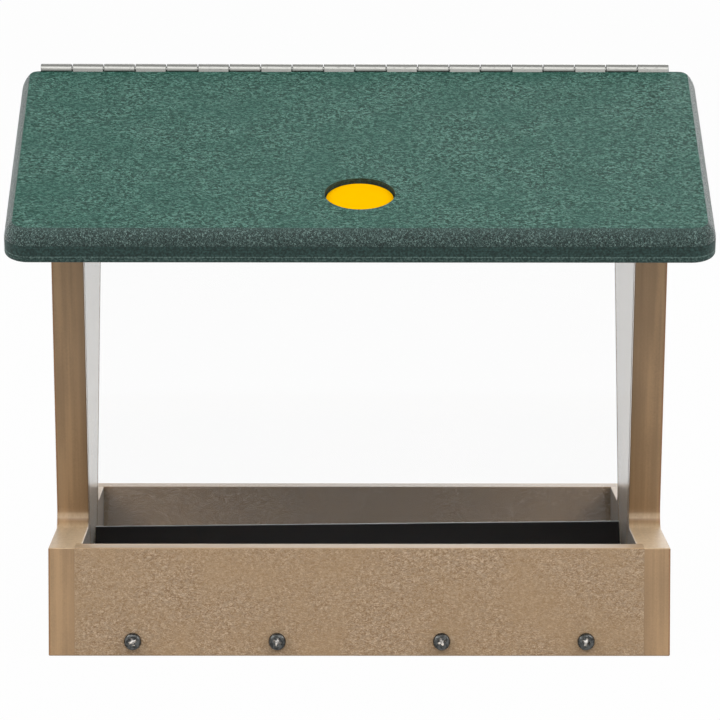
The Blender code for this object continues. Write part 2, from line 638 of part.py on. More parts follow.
def fit_screws(fixings, mesh):
    for fixing in fixings:
        screw = place(fixing.name, mesh, SCREW_STEEL)
        turn = fixing.facing.to_track_quat("Z", "Y").to_matrix().to_4x4()
        world = Matrix.Translation(fixing.seat) @ turn
        if fixing.parent:
            screw.parent = fixing.parent
            bpy.context.view_layer.update()
            screw.matrix_parent_inverse = fixing.parent.matrix_world.inverted()
        screw.matrix_world = world


def hinge_fixings(pivot, leaves, boards):
    fixings = []
    face = KNUCKLE_RADIUS - LEAF_THICKNESS
    for label, side, leaf, roof, parent in (("front", -1, leaves[0], boards[0], pivot),
                                            ("back", 1, leaves[1], boards[1], None)):
        spots = sorted([-x for x in HINGE_SCREWS_X] + list(HINGE_SCREWS_X))
        for i, x in enumerate(spots):
            seat = (x + HINGE_OFFSET, side * face, AXIS_HEIGHT - HINGE_SCREW_DROP)
            fixings.append(Fixing(f"hinge_{label}_screw_{i + 1}", seat, (0, -side, 0), (leaf, roof), parent))
    return fixings


def main():
    panels = make_end_panels()
    front, back, floor = make_tray()
    make_windows()
    make_diverter()
    pivot, lid, fixed = make_roof()
    leaves = make_hinge(pivot)
    bpy.context.view_layer.update()
    pan_fixings = wall_fixings(front, back, floor) + roof_fixings(fixed, panels)
    drill(pan_fixings, LONG_SCREW)
    fit_screws(pan_fixings, pan_screw_mesh())
    sunk_fixings = end_fixings(front, back, floor, panels)
    drill(sunk_fixings, LONG_SCREW, SUNK_HEAD_DIAMETER / 2, SUNK_HEAD_HEIGHT)
    fit_screws(sunk_fixings, sunk_screw_mesh())
    leaf_fixings = hinge_fixings(pivot, leaves, (lid, fixed))
    drill(leaf_fixings, SHORT_SCREW, LEAF_HEAD_DIAMETER / 2, LEAF_HEAD_HEIGHT)
    fit_screws(leaf_fixings, leaf_screw_mesh())


main()
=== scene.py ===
"""Hopper bird feeder in plastic lumber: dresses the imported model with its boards, fittings and finishes.

Metres, +Z up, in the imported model's frame: +X runs along the ridge and -Y is the front, where the lid is.
"""
import json
import math
from collections import namedtuple

import bpy
from bpy.props import FloatProperty, FloatVectorProperty, IntProperty, PointerProperty
from bpy.types import Operator, Panel, PropertyGroup
from mathutils import Euler, Matrix, Vector


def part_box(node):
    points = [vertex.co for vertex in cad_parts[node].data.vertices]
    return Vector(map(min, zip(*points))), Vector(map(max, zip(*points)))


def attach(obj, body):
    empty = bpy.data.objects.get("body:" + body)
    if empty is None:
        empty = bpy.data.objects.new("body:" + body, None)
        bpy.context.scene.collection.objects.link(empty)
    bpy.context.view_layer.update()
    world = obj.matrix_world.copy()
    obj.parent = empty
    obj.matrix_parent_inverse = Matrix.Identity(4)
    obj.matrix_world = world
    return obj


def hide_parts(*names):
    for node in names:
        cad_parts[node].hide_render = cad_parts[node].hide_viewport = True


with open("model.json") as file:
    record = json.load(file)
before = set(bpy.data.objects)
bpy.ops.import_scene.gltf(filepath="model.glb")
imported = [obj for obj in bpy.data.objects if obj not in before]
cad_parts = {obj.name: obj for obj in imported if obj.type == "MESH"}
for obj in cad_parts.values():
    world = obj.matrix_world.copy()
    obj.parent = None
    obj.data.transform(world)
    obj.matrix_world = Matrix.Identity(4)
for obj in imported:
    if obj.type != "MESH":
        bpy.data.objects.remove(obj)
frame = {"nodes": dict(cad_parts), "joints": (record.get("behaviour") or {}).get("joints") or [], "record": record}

bl_info = {
    "name": "Hopper bird feeder",
    "version": (1, 0, 0),
    "blender": (4, 5, 0),
    "location": "View3D > Sidebar > Feeder",
    "description": "Models a plastic-lumber hopper feeder around its packed frame",
    "category": "Object",
}

MM = 0.001
HAIR = 0.02 * MM                        # places closer than this are the same
SLIVER = 0.001 * MM                     # points closer than this are one
FIT_GAP = 0.3 * MM                      # between two pieces that touch
SHEET_EDGE = 0.25 * MM                  # rounding of a thin sheet's edges
CORNER = math.radians(15)               # an edge sharper than this is no step of a curve
KNUCKLE_ROLL = math.radians(297)        # how far a knuckle is rolled round the pin
DRIVEN_TURN = math.radians(137.5)       # from one screw's cross to the next
CROSS_TAPER = 0.55                      # share of a cross that is left at its bottom
POINT_LENGTH = 3.0 * MM                 # of the screws' points
POINT_TIP = 0.12                        # share of a shank's width at the end of its point
FLUSH_RIM = 0.1 * MM                    # rounding of a flush head's rim
PAN_RIM = 0.12 * MM                     # rounding of a pan head's foot
PAN_CROWN = 0.62                        # share of a pan head's height that its crown takes

# Gloss of the boards' skin: roughness, specular level, weight of a smoother coat and of a sheen
Gloss = namedtuple("Gloss", "roughness level coat sheen")
TRAY_GLOSS = Gloss(0.45, 0.25, 0.0, 0.0)
END_GLOSS = Gloss(0.24, 0.4, 1.0, 0.3)
ROOF_GLOSS = Gloss(0.5, 0.1, 0.0, 0.0)

# Crosses in the screws' heads: span, width of an arm and depth
Cross = namedtuple("Cross", "span width depth")
PAN_CROSS = Cross(3.9 * MM, 1.2 * MM, 1.5 * MM)
SUNK_CROSS = Cross(3.6 * MM, 0.9 * MM, 1.1 * MM)
LEAF_CROSS = Cross(3.0 * MM, 0.8 * MM, 0.9 * MM)

# Studio: each lamp has its name, place, size and power
LAMPS = (("key", (-0.15, -1.6, 1.5), 1.4, 13.0), ("side_box_left", (-1.5, -0.7, 1.4), 1.0, 17.0),
         ("side_box_right", (1.5, -0.7, 1.4), 1.0, 17.0), ("front_fill", (0.5, -2.3, 0.6), 1.2, 3.0),
         ("back_fill", (0.6, 1.9, 1.3), 1.6, 14.0))
LAMP_TARGET = Vector((0.0, 0.0, 0.1))
FLOOR_SIZE = 30.0
FLOOR_GAP = 0.1 * MM                    # between the floor and the feeder
CEILING_DIM = 0.3                       # how much of the white the ceiling lacks in a mirror
AMBIENT = 0.30                          # strength of the surroundings as light
FLOOR_GLOW = 0.98                       # share of the floor that shows as plain white
CAMERA_PLACE = (-9.583 * MM, -2114.962 * MM, 303.59 * MM)
CAMERA_LENS = 260.94                    # millimetres, on a 36 mm sensor
CAMERA_TILT = 0.09346                   # radians below level
CAMERA_YAW = 0.00483
CAMERA_ROLL = 0.00112

# Places read from the frame
END_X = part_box("side_panel_right")[1].x
RIM_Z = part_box("tray_front_wall")[1].z
WALL_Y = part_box("side_panel_left")[1].y
APEX_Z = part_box("side_panel_left")[1].z
RIDGE_AXIS = Vector(frame["joints"][0]["pos_m"])
HINGE_X = sum(corner.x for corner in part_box("hinge_pin")) / 2
BODIES = {node: body for body, nodes in frame["record"]["behaviour"]["bodies"].items() for node in nodes}


def millimetres(label, note, default):
    """A length that shows in the panel."""
    return FloatProperty(name=label, description=note, default=default * MM, min=0.0, subtype="DISTANCE",
                         unit="LENGTH", precision=5)


def degrees(label, note, default):
    """An angle that shows in the panel."""
    return FloatProperty(name=label, description=note, default=math.radians(default), subtype="ANGLE",
                         unit="ROTATION")


def colour(label, note, default):
    """A colour given as 8-bit display values, kept as scene-linear ones."""
    linear = [((c / 255 + 0.055) / 1.055) ** 2.4 if c > 10 else c / 255 / 12.92 for c in default]
    return FloatVectorProperty(name=label, description=note, default=linear, size=3, min=0.0, max=1.0,
                               subtype="COLOR")


class FEEDER_PG_boards(PropertyGroup):
    """Sizes of the boards' edges and slopes"""
    ease: millimetres("Edge", "Rounding of the sawn edges", 0.5)
    splay: degrees("Splay", "Lean of the end panels' edges from plumb", 19.4)
    neck: millimetres("Neck", "Half the end panel's depth at the rim", 39.5)
    cove: millimetres("Cove", "Radius where the leaning edge meets the shoulder", 6.0)
    rabbet: millimetres("Rabbet", "Depth that a wall is let into an end panel", 2.5)
    drain: millimetres("Drain", "Legs of the corner cut off the floor", 14.0)
    groove: millimetres("Groove", "Depth of the window grooves", 3.5)
    inset: millimetres("Window inset", "From the leaning edge to the window", 5.0)
    window: millimetres("Window", "Thickness of the clear sheets", 2.4)
    pitch: degrees("Pitch", "Slope of the roof", 22.5)
    roof_board: millimetres("Roof board", "Thickness of the roof boards", 13.5)
    roof_length: millimetres("Roof length", "Down the slope from ridge to eave", 145.1)
    ridge_slot: millimetres("Ridge slot", "Between the two plumb ridge faces", 5.0)
    ridge_drop: millimetres("Ridge drop", "From the hinge's axis down to the ridge edges", 0.9)
    nose_radius: millimetres("Nose radius", "Router radius round the roof boards", 9.525)
    nose_height: millimetres("Nose height", "How far down the edge the router reaches", 7.1)
    eave_corner: millimetres("Eave corner", "Radius of the eave's corners in plan", 9.5)
    ridge_corner: millimetres("Ridge corner", "Radius of the ridge's corners", 2.8)
    # The pale line is a saw mark painted brighter as a highlight
    saw_and_highlight_line: millimetres("Saw line", "Down the eave to the pale line left by the saw", 10.7)
    under_ease: millimetres("Lower edge", "Rounding of the roof boards' lower edges", 1.0)


class FEEDER_PG_fittings(PropertyGroup):
    """Sizes of the hinge, the screws, the sheet parts and the badge"""
    knuckles: IntProperty(name="Knuckles", description="Knuckles along the hinge", default=20, min=2)
    knuckle_gap: millimetres("Knuckle gap", "Between two knuckles", 0.35)
    knuckle_ease: millimetres("Knuckle edge", "Rounding of the knuckles' ends", 0.3)
    leaf: millimetres("Leaf", "Thickness of the hinge leaves", 0.9)
    leaf_drop: millimetres("Leaf drop", "From the pin's axis to the leaf's lower edge", 12.0)
    pin: millimetres("Pin", "Diameter of the hinge pin", 2.4)
    pin_play: millimetres("Pin play", "Clearance round the pin", 0.1)
    shank: millimetres("Shank", "Diameter of the screws' shanks", 3.0)
    pan_head: millimetres("Pan head", "Diameter of the pan heads", 6.7)
    pan_height: millimetres("Pan height", "Height of the pan heads", 2.4)
    pan_length: millimetres("Pan screw length", "Below the head", 25.0)
    sunk_head: millimetres("Sunk head", "Diameter of the end panels' flush heads", 6.2)
    sunk_height: millimetres("Sunk height", "Depth of the end panels' flush heads", 1.8)
    sunk_length: millimetres("Sunk screw length", "Over all", 25.0)
    leaf_head: millimetres("Leaf head", "Diameter of the hinge screws' heads", 5.2)
    leaf_height: millimetres("Leaf head height", "Depth of the hinge screws' heads", 1.2)
    leaf_length: millimetres("Hinge screw length", "Over all", 11.0)
    sheet: millimetres("Diverter sheet", "Thickness of the black sheet", 1.0)
    fold: millimetres("Fold", "Radius of the diverter's fold", 2.0)
    disc: millimetres("Disc", "Diameter of the badge disc", 26.1)
    disc_thickness: millimetres("Disc thickness", "Thickness of the badge disc", 1.0)
    disc_play: millimetres("Disc play", "Between the disc's rim and the recess", 0.6)


class FEEDER_PG_colours(PropertyGroup):
    """Colours of the feeder's materials"""
    tan: colour("Tan", "Board face", (166, 138, 105))
    tan_pale: colour("Tan fleck", "Pale flecks in the board face", (202, 178, 152))
    tan_deep: colour("Tan shade", "Brown flecks in the board face", (140, 112, 84))
    tan_patch: colour("Tan patch", "Patches of greyer plastic in the board face", (176, 154, 130))
    tan_cut: colour("Tan cut", "Sawn and routed edges", (171, 139, 103))
    # A darker orange-brown line along the outer corners of the end panels' edges
    tan_corner_line: colour("Tan burnt", "Outer corners of the sawn edges", (150, 106, 68))
    # Painted light: pale colour painted on the shoulders and rims as if lit from above, and as a highlight in the
    # coves
    tan_painted_light: colour("Tan routed", "Pale plastic on the routed shoulders", (234, 210, 176))
    green: colour("Green", "Roof board face", (32, 78, 67))
    green_pale: colour("Green fleck", "Pale flecks on the roof", (88, 132, 119))
    green_deep: colour("Green shade", "Dark flecks on the roof", (13, 50, 41))
    green_patch: colour("Green patch", "Patches of greyer plastic on the roof", (56, 92, 83))
    green_cut: colour("Green cut", "Routed and sawn edges of the roof", (43, 66, 62))
    green_speck: colour("Green speck", "Pale specks torn open by the router", (114, 140, 133))
    yellow: colour("Yellow", "Badge disc", (255, 190, 0))
    black: colour("Black", "Coated diverter sheet", (36, 35, 39))
    aluminium: colour("Aluminium", "Hinge leaves", (154, 154, 150))
    steel: colour("Steel", "Screw heads", (92, 93, 92))
    # Bright steel: crosses worn by the driver and painted bright for the glint in the recess, and the diverter's
    # sheared ends
    bright_steel_and_glint: colour("Worn steel", "Crosses of the screws", (245, 240, 234))


def boards():
    """The boards' sizes as the panel has them."""
    return bpy.context.scene.feeder_boards


def fittings():
    """The fittings' sizes as the panel has them."""
    return bpy.context.scene.feeder_fittings


def colours():
    """The colours as the panel has them."""
    return bpy.context.scene.feeder_colours


# Materials

def feed(tree, socket, value):
    """Give a socket a link or a plain value."""
    if isinstance(value, Wire):
        tree.links.new(value.socket, socket)
    elif socket.type == "RGBA" and len(value) == 3:
        socket.default_value = (*value, 1.0)
    else:
        socket.default_value = value


def find_socket(sockets, key):
    """A socket by its place, its identifier or its name."""
    if isinstance(key, int):
        return sockets[key]
    for socket in sockets:
        if socket.identifier == key:
            return socket
    return sockets[key]


class Wire:
    """A socket that takes part in Python expressions: each step on it adds a Math node."""

    def __init__(self, tree, socket):
        self.tree = tree
        self.socket = socket

    def maths(self, operation, *values):
        """One Math node on numbers or other wires."""
        node = self.tree.nodes.new("ShaderNodeMath")
        node.operation = operation
        for socket, value in zip(node.inputs, values):
            feed(self.tree, socket, value)
        return Wire(self.tree, node.outputs[0])

    def __add__(self, other):
        return self.maths("ADD", self, other)

    __radd__ = __add__

    def __sub__(self, other):
        return self.maths("SUBTRACT", self, other)

    def __rsub__(self, other):
        return self.maths("SUBTRACT", other, self)

    def __mul__(self, other):
        return self.maths("MULTIPLY", self, other)

    __rmul__ = __mul__

    def __gt__(self, other):
        return self.maths("GREATER_THAN", self, other)

    def __lt__(self, other):
        return self.maths("LESS_THAN", self, other)

    def size(self):
        """The value without its sign."""
        return self.maths("ABSOLUTE", self)

    def clamp(self, low=0.0, high=1.0):
        return self.maths("MINIMUM", self.maths("MAXIMUM", self, low), high)

    def ramp_up(self, low, high):
        """Nought at low and one at high, straight between."""
        return ((self - low) * (1.0 / (high - low))).clamp()


class Nodes:
    """The node tree of a material or of the world."""

    def __init__(self, owner):
        owner.use_nodes = True
        self.tree = owner.node_tree
        self.tree.nodes.clear()

    def node(self, kind, settings=None, sockets=None, output=0):
        """Any node: its settings are set first, then the values or links of its sockets."""
        node = self.tree.nodes.new(kind)
        for key, value in (settings or {}).items():
            if key == "stops":
                self.set_stops(node.color_ramp, value)
            else:
                setattr(node, key, value)
        for key, value in (sockets or {}).items():
            feed(self.tree, find_socket(node.inputs, key), value)
        return Wire(self.tree, find_socket(node.outputs, output)) if node.outputs else node

    @staticmethod
    def set_stops(ramp, stops):
        """Give a ramp its stops, each a position and a colour."""
        while len(ramp.elements) < len(stops):
            ramp.elements.new(0.5)
        for element, (position, tone) in zip(ramp.elements, stops):
            element.position = position
            element.color = (*tone, 1.0)

    def rays(self, *kinds):
        """One for the given kinds of ray, and nought for all others."""
        return sum(self.node("ShaderNodeLightPath", output=f"Is {kind} Ray") for kind in kinds).clamp()


class Finish(Nodes):
    """One material; its pattern can start at an origin and be turned with its piece."""

    def __init__(self, name, origin=(0.0, 0.0, 0.0), turn=(0.0, 0.0, 0.0)):
        self.material = bpy.data.materials.new(name)
        super().__init__(self.material)
        place = self.node("ShaderNodeTexCoord", output="Object")
        self.place = self.node("ShaderNodeMapping", {"vector_type": "TEXTURE"},
                               {"Vector": place, "Location": origin, "Rotation": turn}, "Vector")

    def along(self, axis):
        """The place along one axis of the piece's own frame, in metres."""
        return self.node("ShaderNodeSeparateXYZ", {}, {"Vector": self.place}, axis)

    def noise(self, spacing, detail=2.0, roughness=0.5, distortion=0.0, shift=0.0):
        """Noise whose grains are about spacing metres long, in all ways or in x, y and z."""
        steps = [spacing] * 3 if isinstance(spacing, float) else spacing
        scale = tuple(1.0 / step for step in steps)
        vector = self.node("ShaderNodeMapping", {"vector_type": "POINT"},
                           {"Vector": self.place, "Scale": scale, "Location": (shift, shift, shift)}, "Vector")
        return self.node("ShaderNodeTexNoise", {"noise_dimensions": "3D"},
                         {"Vector": vector, "Scale": 1.0, "Detail": detail, "Roughness": roughness,
                          "Distortion": distortion}, "Fac")

    def ramp(self, value, stops):
        """The colour that a value picks from a ramp."""
        return self.node("ShaderNodeValToRGB", {"stops": stops}, {"Fac": value}, "Color")

    def mix(self, share, first, second):
        """A colour between two others: the second where share is one."""
        return self.node("ShaderNodeMix", {"data_type": "RGBA"},
                         {"Factor_Float": share, "A_Color": first, "B_Color": second}, "Result_Color")

    def bump(self, height, distance, strength):
        """A normal tilted by a height; distance is how deep the relief is, in metres."""
        return self.node("ShaderNodeBump", {}, {"Height": height, "Distance": distance, "Strength": strength},
                         "Normal")

    def done(self, **values):
        """Close the material with a Principled shader; keywords are its sockets' names in lower case."""
        sockets = {key.replace("_", " ").title().replace("Ior", "IOR"): value for key, value in values.items()}
        return self.close(self.node("ShaderNodeBsdfPrincipled", {}, sockets, "BSDF"))

    def close(self, shader):
        """End the material with a shader."""
        self.node("ShaderNodeOutputMaterial", {}, {"Surface": shader})
        return self.material


def shade(base, factor):
    """A colour made lighter or darker."""
    return tuple(min(1.0, channel * factor) for channel in base)


def spaced(usual, way, other):
    """A spacing in x, y and z that differs in one way."""
    steps = [usual] * 3
    steps[way] = other
    return steps


def lumber_face(name, tones, long_way, fleck, wave, contrast, relief, gloss, **place):
    """The extruded skin of plastic lumber: short wavy flecks that lie along the board, slightly embossed.

    tones are the deep, middle, pale and patch colours; fleck is a fleck's length and width in metres.
    """
    deep, middle, pale, patch = tones
    finish = Finish(name, **place)
    spacing = spaced(fleck[1], long_way, fleck[0])
    flecks = finish.noise(spacing, detail=2.0, roughness=0.6, distortion=wave)
    fine = finish.noise([step * 0.55 for step in spacing], detail=1.0, distortion=wave, shift=7.0)
    patches = finish.noise([step * 1.4 for step in spacing], detail=2.0, roughness=0.6, distortion=wave,
                           shift=3.0)
    clouds = finish.noise(26 * MM, detail=2.0, shift=11.0)
    height = (flecks * 0.55 + fine * 0.45 - 0.5) * contrast + 0.5
    tone = finish.ramp(height, [(0.1, deep), (0.5, middle), (0.9, pale)])
    greyer = finish.mix(height.clamp(), shade(patch, 0.8), patch)
    tone = finish.mix(patches.ramp_up(0.46, 0.62) * 0.6, tone, greyer)
    tone = finish.mix(clouds.ramp_up(0.4, 0.65) * 0.5, tone, shade(middle, 1.1))
    roughness = (gloss.roughness + 0.05 - height * 0.1).clamp()
    coat = (height.clamp() * 0.3 + 0.76) * gloss.coat if gloss.coat else 0.0
    return finish.done(base_color=tone, roughness=roughness, specular_ior_level=gloss.level, coat_weight=coat,
                       coat_roughness=0.2, coat_tint=(1.0, 0.98, 0.94), sheen_weight=gloss.sheen,
                       sheen_roughness=0.3, normal=finish.bump(height, relief, 0.7))


def tan_face(name, long_way, relief, gloss):
    """The tan boards' skin."""
    tone = colours()
    return lumber_face(name, (tone.tan_deep, tone.tan, tone.tan_pale, tone.tan_patch), long_way,
                       fleck=(1.3 * MM, 0.75 * MM), wave=1.3, contrast=3.8, relief=relief, gloss=gloss)


def lumber_cut(name, base, thickness_way):
    """A sawn or routed edge: smooth, with faint tool lines that run along the edge.

    Painted light: the shoulder at the rim, and more faintly the tray walls' rims, are painted pale as if lit from
    above, and a painted highlight lies in a band up the cove above the shoulder. The end panels' edges, whose
    thickness is along x, get painted shade towards the inner seam with the wall, and a darker orange-brown
    line at their outer corners.
    """
    finish = Finish(name)
    lines = finish.noise(spaced(60 * MM, thickness_way, 0.9 * MM), detail=3.0, roughness=0.6)
    bands = finish.noise(spaced(60 * MM, thickness_way, 3.2 * MM), detail=1.0, shift=8.0)
    pores = finish.noise(0.7 * MM, detail=2.0, shift=5.0)
    clouds = finish.noise(18 * MM, detail=2.0, shift=2.0)
    height = lines * 0.6 + pores * 0.4
    tone = finish.ramp(height, [(0.30, shade(base, 0.82)), (0.52, base), (0.72, shade(base, 1.16))])
    drift = clouds * 0.2 + bands * 0.8
    tone = finish.mix(drift.ramp_up(0.5, 0.62) * 0.6, tone, shade(base, 0.76))
    tone = finish.mix((1.0 - drift.ramp_up(0.38, 0.5)) * 0.6, tone, shade(base, 1.22))
    rise = finish.along("Z") - RIM_Z
    cove = boards().cove
    # Painted light: the shoulder and the rim are painted pale where light from above falls on them
    routed = rise.ramp_up(-0.5 * MM, -0.2 * MM) * (1.0 - rise.ramp_up(0.1 * MM, cove * 0.35))
    # Painted highlight in a band up the cove
    cove_highlight = rise.ramp_up(cove * 0.5, cove * 0.62) * (1.0 - rise.ramp_up(cove * 0.85, cove))
    # How much of the painted light shows: faint on the tray's rims, full on the end panels
    pale_share = 0.28
    if thickness_way == 0:
        pale_share = 1.0
        inwards = END_X - finish.along("X").size()
        # Painted shade: darker towards the inner seam with the wall, but not on the shoulder
        inner = inwards.ramp_up(6.5 * MM, 12.5 * MM) * (1.0 - routed)
        # A darker orange-brown line along the outer corners
        corner = 1.0 - inwards.ramp_up(0.5 * MM, 0.8 * MM)
        tone = finish.mix(inner * 0.6, tone, shade(base, 0.6))
        tone = finish.mix(corner * 0.8, tone, colours().tan_corner_line)
    streaks = finish.noise([1.2 * MM, 2.6 * MM, 2.6 * MM], detail=3.0, distortion=0.8, shift=6.0)
    # Painted light and painted highlight, streaked
    pale = (routed + cove_highlight * 0.7) * (streaks * 0.7 + 0.12)
    tone = finish.mix(pale * pale_share, tone, colours().tan_painted_light)
    return finish.done(base_color=tone, roughness=(0.3 + pores * 0.14).clamp(), specular_ior_level=0.45,
                       normal=finish.bump(height, 0.05 * MM, 0.5))


def ridge_edge():
    """Where a roof board's top meets its plumb ridge face, as y and z in the board's own frame."""
    part = boards()
    lean, rise = math.cos(part.pitch), math.sin(part.pitch)
    half_slot = part.ridge_slot / 2
    return -half_slot * lean - part.ridge_drop * rise, half_slot * rise - part.ridge_drop * lean


def routed_nose(name, base, **place):
    """The roof board's routed edge, torn open into fine light and dark specks."""
    finish = Finish(name, **place)
    grain = finish.noise(0.62 * MM, detail=2.0, roughness=0.6, distortion=1.4)
    patches = finish.noise([14 * MM, 9 * MM, 9 * MM], detail=1.0, shift=4.0)
    torn = (ridge_edge()[1] - finish.along("Z")).ramp_up(0.2 * MM, 2.4 * MM)
    height = (grain - 0.5) * (0.9 + patches * 1.4 + torn * 1.4) + 0.55 - torn * 0.06
    tone = finish.ramp(height, [(0.1, shade(base, 0.3)), (0.46, shade(base, 0.75)), (0.62, shade(base, 1.2)),
                                (0.9, colours().green_speck)])
    return finish.done(base_color=tone, roughness=(0.52 - height * 0.15).clamp(0.35, 0.7),
                       specular_ior_level=0.3, sheen_weight=0.8, sheen_roughness=0.25,
                       normal=finish.bump(height, 0.14 * MM, 0.9))


def band_of_roof(name, base, **place):
    """The sawn band under the nose, with a thin pale saw line above the lower rounding that is painted brighter as
    a highlight.
    """
    finish = Finish(name, **place)
    depth = ridge_edge()[1] - finish.along("Z")
    line = boards().saw_and_highlight_line
    lines = finish.noise([70 * MM, 70 * MM, 0.5 * MM], detail=2.0)
    grain = finish.noise(0.9 * MM, detail=2.0, distortion=0.4, shift=5.0)
    height = lines * 0.25 + grain * 0.75
    tone = finish.ramp(height, [(0.38, shade(base, 0.5)), (0.5, shade(base, 0.85)), (0.62, shade(base, 1.5))])
    # Painted highlight on the saw line above the lower rounding
    edge = (depth > line) * (depth < line + 0.45 * MM)
    speck = colours().green_speck
    tone = finish.mix(edge * (grain.ramp_up(0.38, 0.6) * 0.6 + 0.15), tone, speck)
    below = depth.ramp_up(line + 0.4 * MM, line + 0.6 * MM)
    torn = finish.ramp(grain, [(0.34, shade(base, 0.5)), (0.5, shade(base, 1.2)), (0.7, shade(speck, 0.6))])
    tone = finish.mix(below, tone, torn)
    return finish.done(base_color=tone, roughness=0.5, specular_ior_level=0.25,
                       normal=finish.bump(height + below * grain, 0.06 * MM, 0.6))


def clear_sheet():
    """Clear sheet that lets the lamps' light through to what is behind it."""
    finish = Finish("clear_sheet")
    haze = finish.noise(30 * MM, detail=3.0)
    glass = finish.node("ShaderNodeBsdfPrincipled", {}, {
        "Base Color": (1.0, 1.0, 1.0), "Roughness": (haze * 0.03).clamp(0.0, 0.03),
        "Transmission Weight": 1.0, "IOR": 1.2}, "BSDF")
    passing = finish.node("ShaderNodeBsdfTransparent", {}, {"Color": (0.97, 0.98, 0.98)}, "BSDF")
    lighting = finish.rays("Shadow", "Diffuse")
    return finish.close(finish.node("ShaderNodeMixShader", {}, {0: lighting, 1: glass, 2: passing}))


def sawn_clear_edge():
    """The clear sheet's edges: sawn, so matte and whitish."""
    finish = Finish("sawn_clear_edge")
    marks = finish.noise([0.6 * MM, 0.6 * MM, 3 * MM], detail=2.0)
    tone = finish.mix(marks, (0.62, 0.67, 0.67), (0.8, 0.84, 0.84))
    return finish.done(base_color=tone, roughness=(0.35 + marks * 0.2).clamp(), specular_ior_level=0.4,
                       normal=finish.bump(marks, 0.04 * MM, 0.5))


def black_coat():
    """Smooth black coating on sheet metal, with a painted highlight along the fold."""
    finish = Finish("black_sheet")
    base = colours().black
    drift = finish.noise([40 * MM, 6 * MM, 6 * MM], detail=3.0)
    fold_highlight_grain = finish.noise([9 * MM, 0.8 * MM, 0.8 * MM], detail=2.0, shift=4.0)
    fold = 1.0 - finish.along("Y").size().ramp_up(0.5 * MM, 1.5 * MM)
    tone = finish.mix(drift, shade(base, 0.8), shade(base, 1.2))
    # Painted highlight along the fold
    tone = finish.mix(fold * (fold_highlight_grain * 0.4 + 0.45), tone, (0.42, 0.43, 0.42))
    return finish.done(base_color=tone, roughness=(0.34 + drift * 0.1).clamp(), specular_ior_level=0.5,
                       normal=finish.bump(drift, 0.05 * MM, 0.3))


def rolled_aluminium():
    """Mill-finish aluminium: fine rolling lines along the hinge, with a few scuffs."""
    finish = Finish("hinge_metal")
    base = colours().aluminium
    lines = finish.noise([26 * MM, 0.22 * MM, 0.22 * MM], detail=3.0, roughness=0.6)
    scuffs = finish.noise([1.6 * MM, 1.0 * MM, 1.0 * MM], detail=3.0, distortion=1.2, shift=9.0)
    worn = scuffs.ramp_up(0.56, 0.72)
    tone = finish.mix(lines, shade(base, 0.86), base)
    tone = finish.mix(worn * 0.5, tone, shade(base, 0.62))
    return finish.done(base_color=tone, metallic=1.0, roughness=(0.2 + lines * 0.16 + worn * 0.15).clamp(),
                       normal=finish.bump(lines * 0.7 + scuffs * 0.3, 0.03 * MM, 0.5))


def screw_steel(name, base, darkest=0.62, worn=0.5):
    """Plated steel with marks worn millimetres long; the deepest keep the darkest share of the colour."""
    finish = Finish(name)
    grain = finish.noise(worn * MM, detail=3.0)
    tone = finish.ramp(grain, [(0.4, shade(base, darkest)), (0.6, base)])
    return finish.done(base_color=tone, metallic=1.0, roughness=(0.24 + grain * 0.2).clamp(),
                       normal=finish.bump(grain, 0.02 * MM, 0.4))


def badge_yellow():
    """Bright yellow disc under a clear gloss, with the faintest unevenness."""
    finish = Finish("yellow_disc")
    base = colours().yellow
    drift = finish.noise(5 * MM, detail=3.0)
    tone = finish.mix(drift, shade(base, 0.95), base)
    return finish.done(base_color=tone, roughness=(0.36 + drift * 0.1).clamp(), specular_ior_level=0.0,
                       normal=finish.bump(drift, 0.03 * MM, 0.2))


# Modelling

def deselect():
    """Leave edit mode with nothing selected."""
    if bpy.context.object and bpy.context.object.mode != "OBJECT":
        bpy.ops.object.mode_set(mode="OBJECT")
    bpy.ops.object.select_all(action="DESELECT")


def choose(piece):
    """Select one piece alone, and make it active."""
    deselect()
    piece.select_set(True)
    bpy.context.view_layer.objects.active = piece


def pick(piece, kind, test=lambda *place: True):
    """Open a piece in edit mode with the points, edges or faces selected that pass a test.

    The test takes a point's place, an edge's two ends, or a face's centre and normal.
    """
    choose(piece)
    bpy.ops.object.mode_set(mode="EDIT")
    bpy.ops.mesh.select_mode(type=kind)
    bpy.ops.mesh.select_all(action="DESELECT")
    bpy.ops.object.mode_set(mode="OBJECT")
    mesh = piece.data
    if kind == "FACE":
        for face in mesh.polygons:
            face.select = test(face.center, face.normal)
    elif kind == "EDGE":
        for edge in mesh.edges:
            edge.select = test(*(mesh.vertices[i].co for i in edge.vertices))
    else:
        for point in mesh.vertices:
            point.select = test(point.co)
    bpy.ops.object.mode_set(mode="EDIT")


def looks_down(centre, normal):
    """The test for the faces of an underside."""
    return normal.z < -0.9


def close_edit():
    """Go back from edit mode to the whole piece."""
    bpy.ops.object.mode_set(mode="OBJECT")


def apply_place(piece):
    """Move a piece's place, turn and scale into its mesh."""
    choose(piece)
    bpy.ops.object.transform_apply(location=True, rotation=True, scale=True)


def named(name, scale=(1.0, 1.0, 1.0)):
    """The piece that was just added, named and brought to its size."""
    piece = bpy.context.object
    piece.name = name
    piece.scale = scale
    apply_place(piece)
    return piece


def add_block(name, low, high):
    """A rectangular block from its lowest corner to its highest."""
    deselect()
    low, high = Vector(low), Vector(high)
    bpy.ops.mesh.primitive_cube_add(size=1.0, location=(low + high) / 2)
    return named(name, high - low)


def add_round(name, radius, low, high, steps=48):
    """A cylinder on the Z axis from one height to another."""
    deselect()
    bpy.ops.mesh.primitive_cylinder_add(vertices=steps, radius=radius, depth=high - low,
                                        location=(0.0, 0.0, (low + high) / 2))
    return named(name)


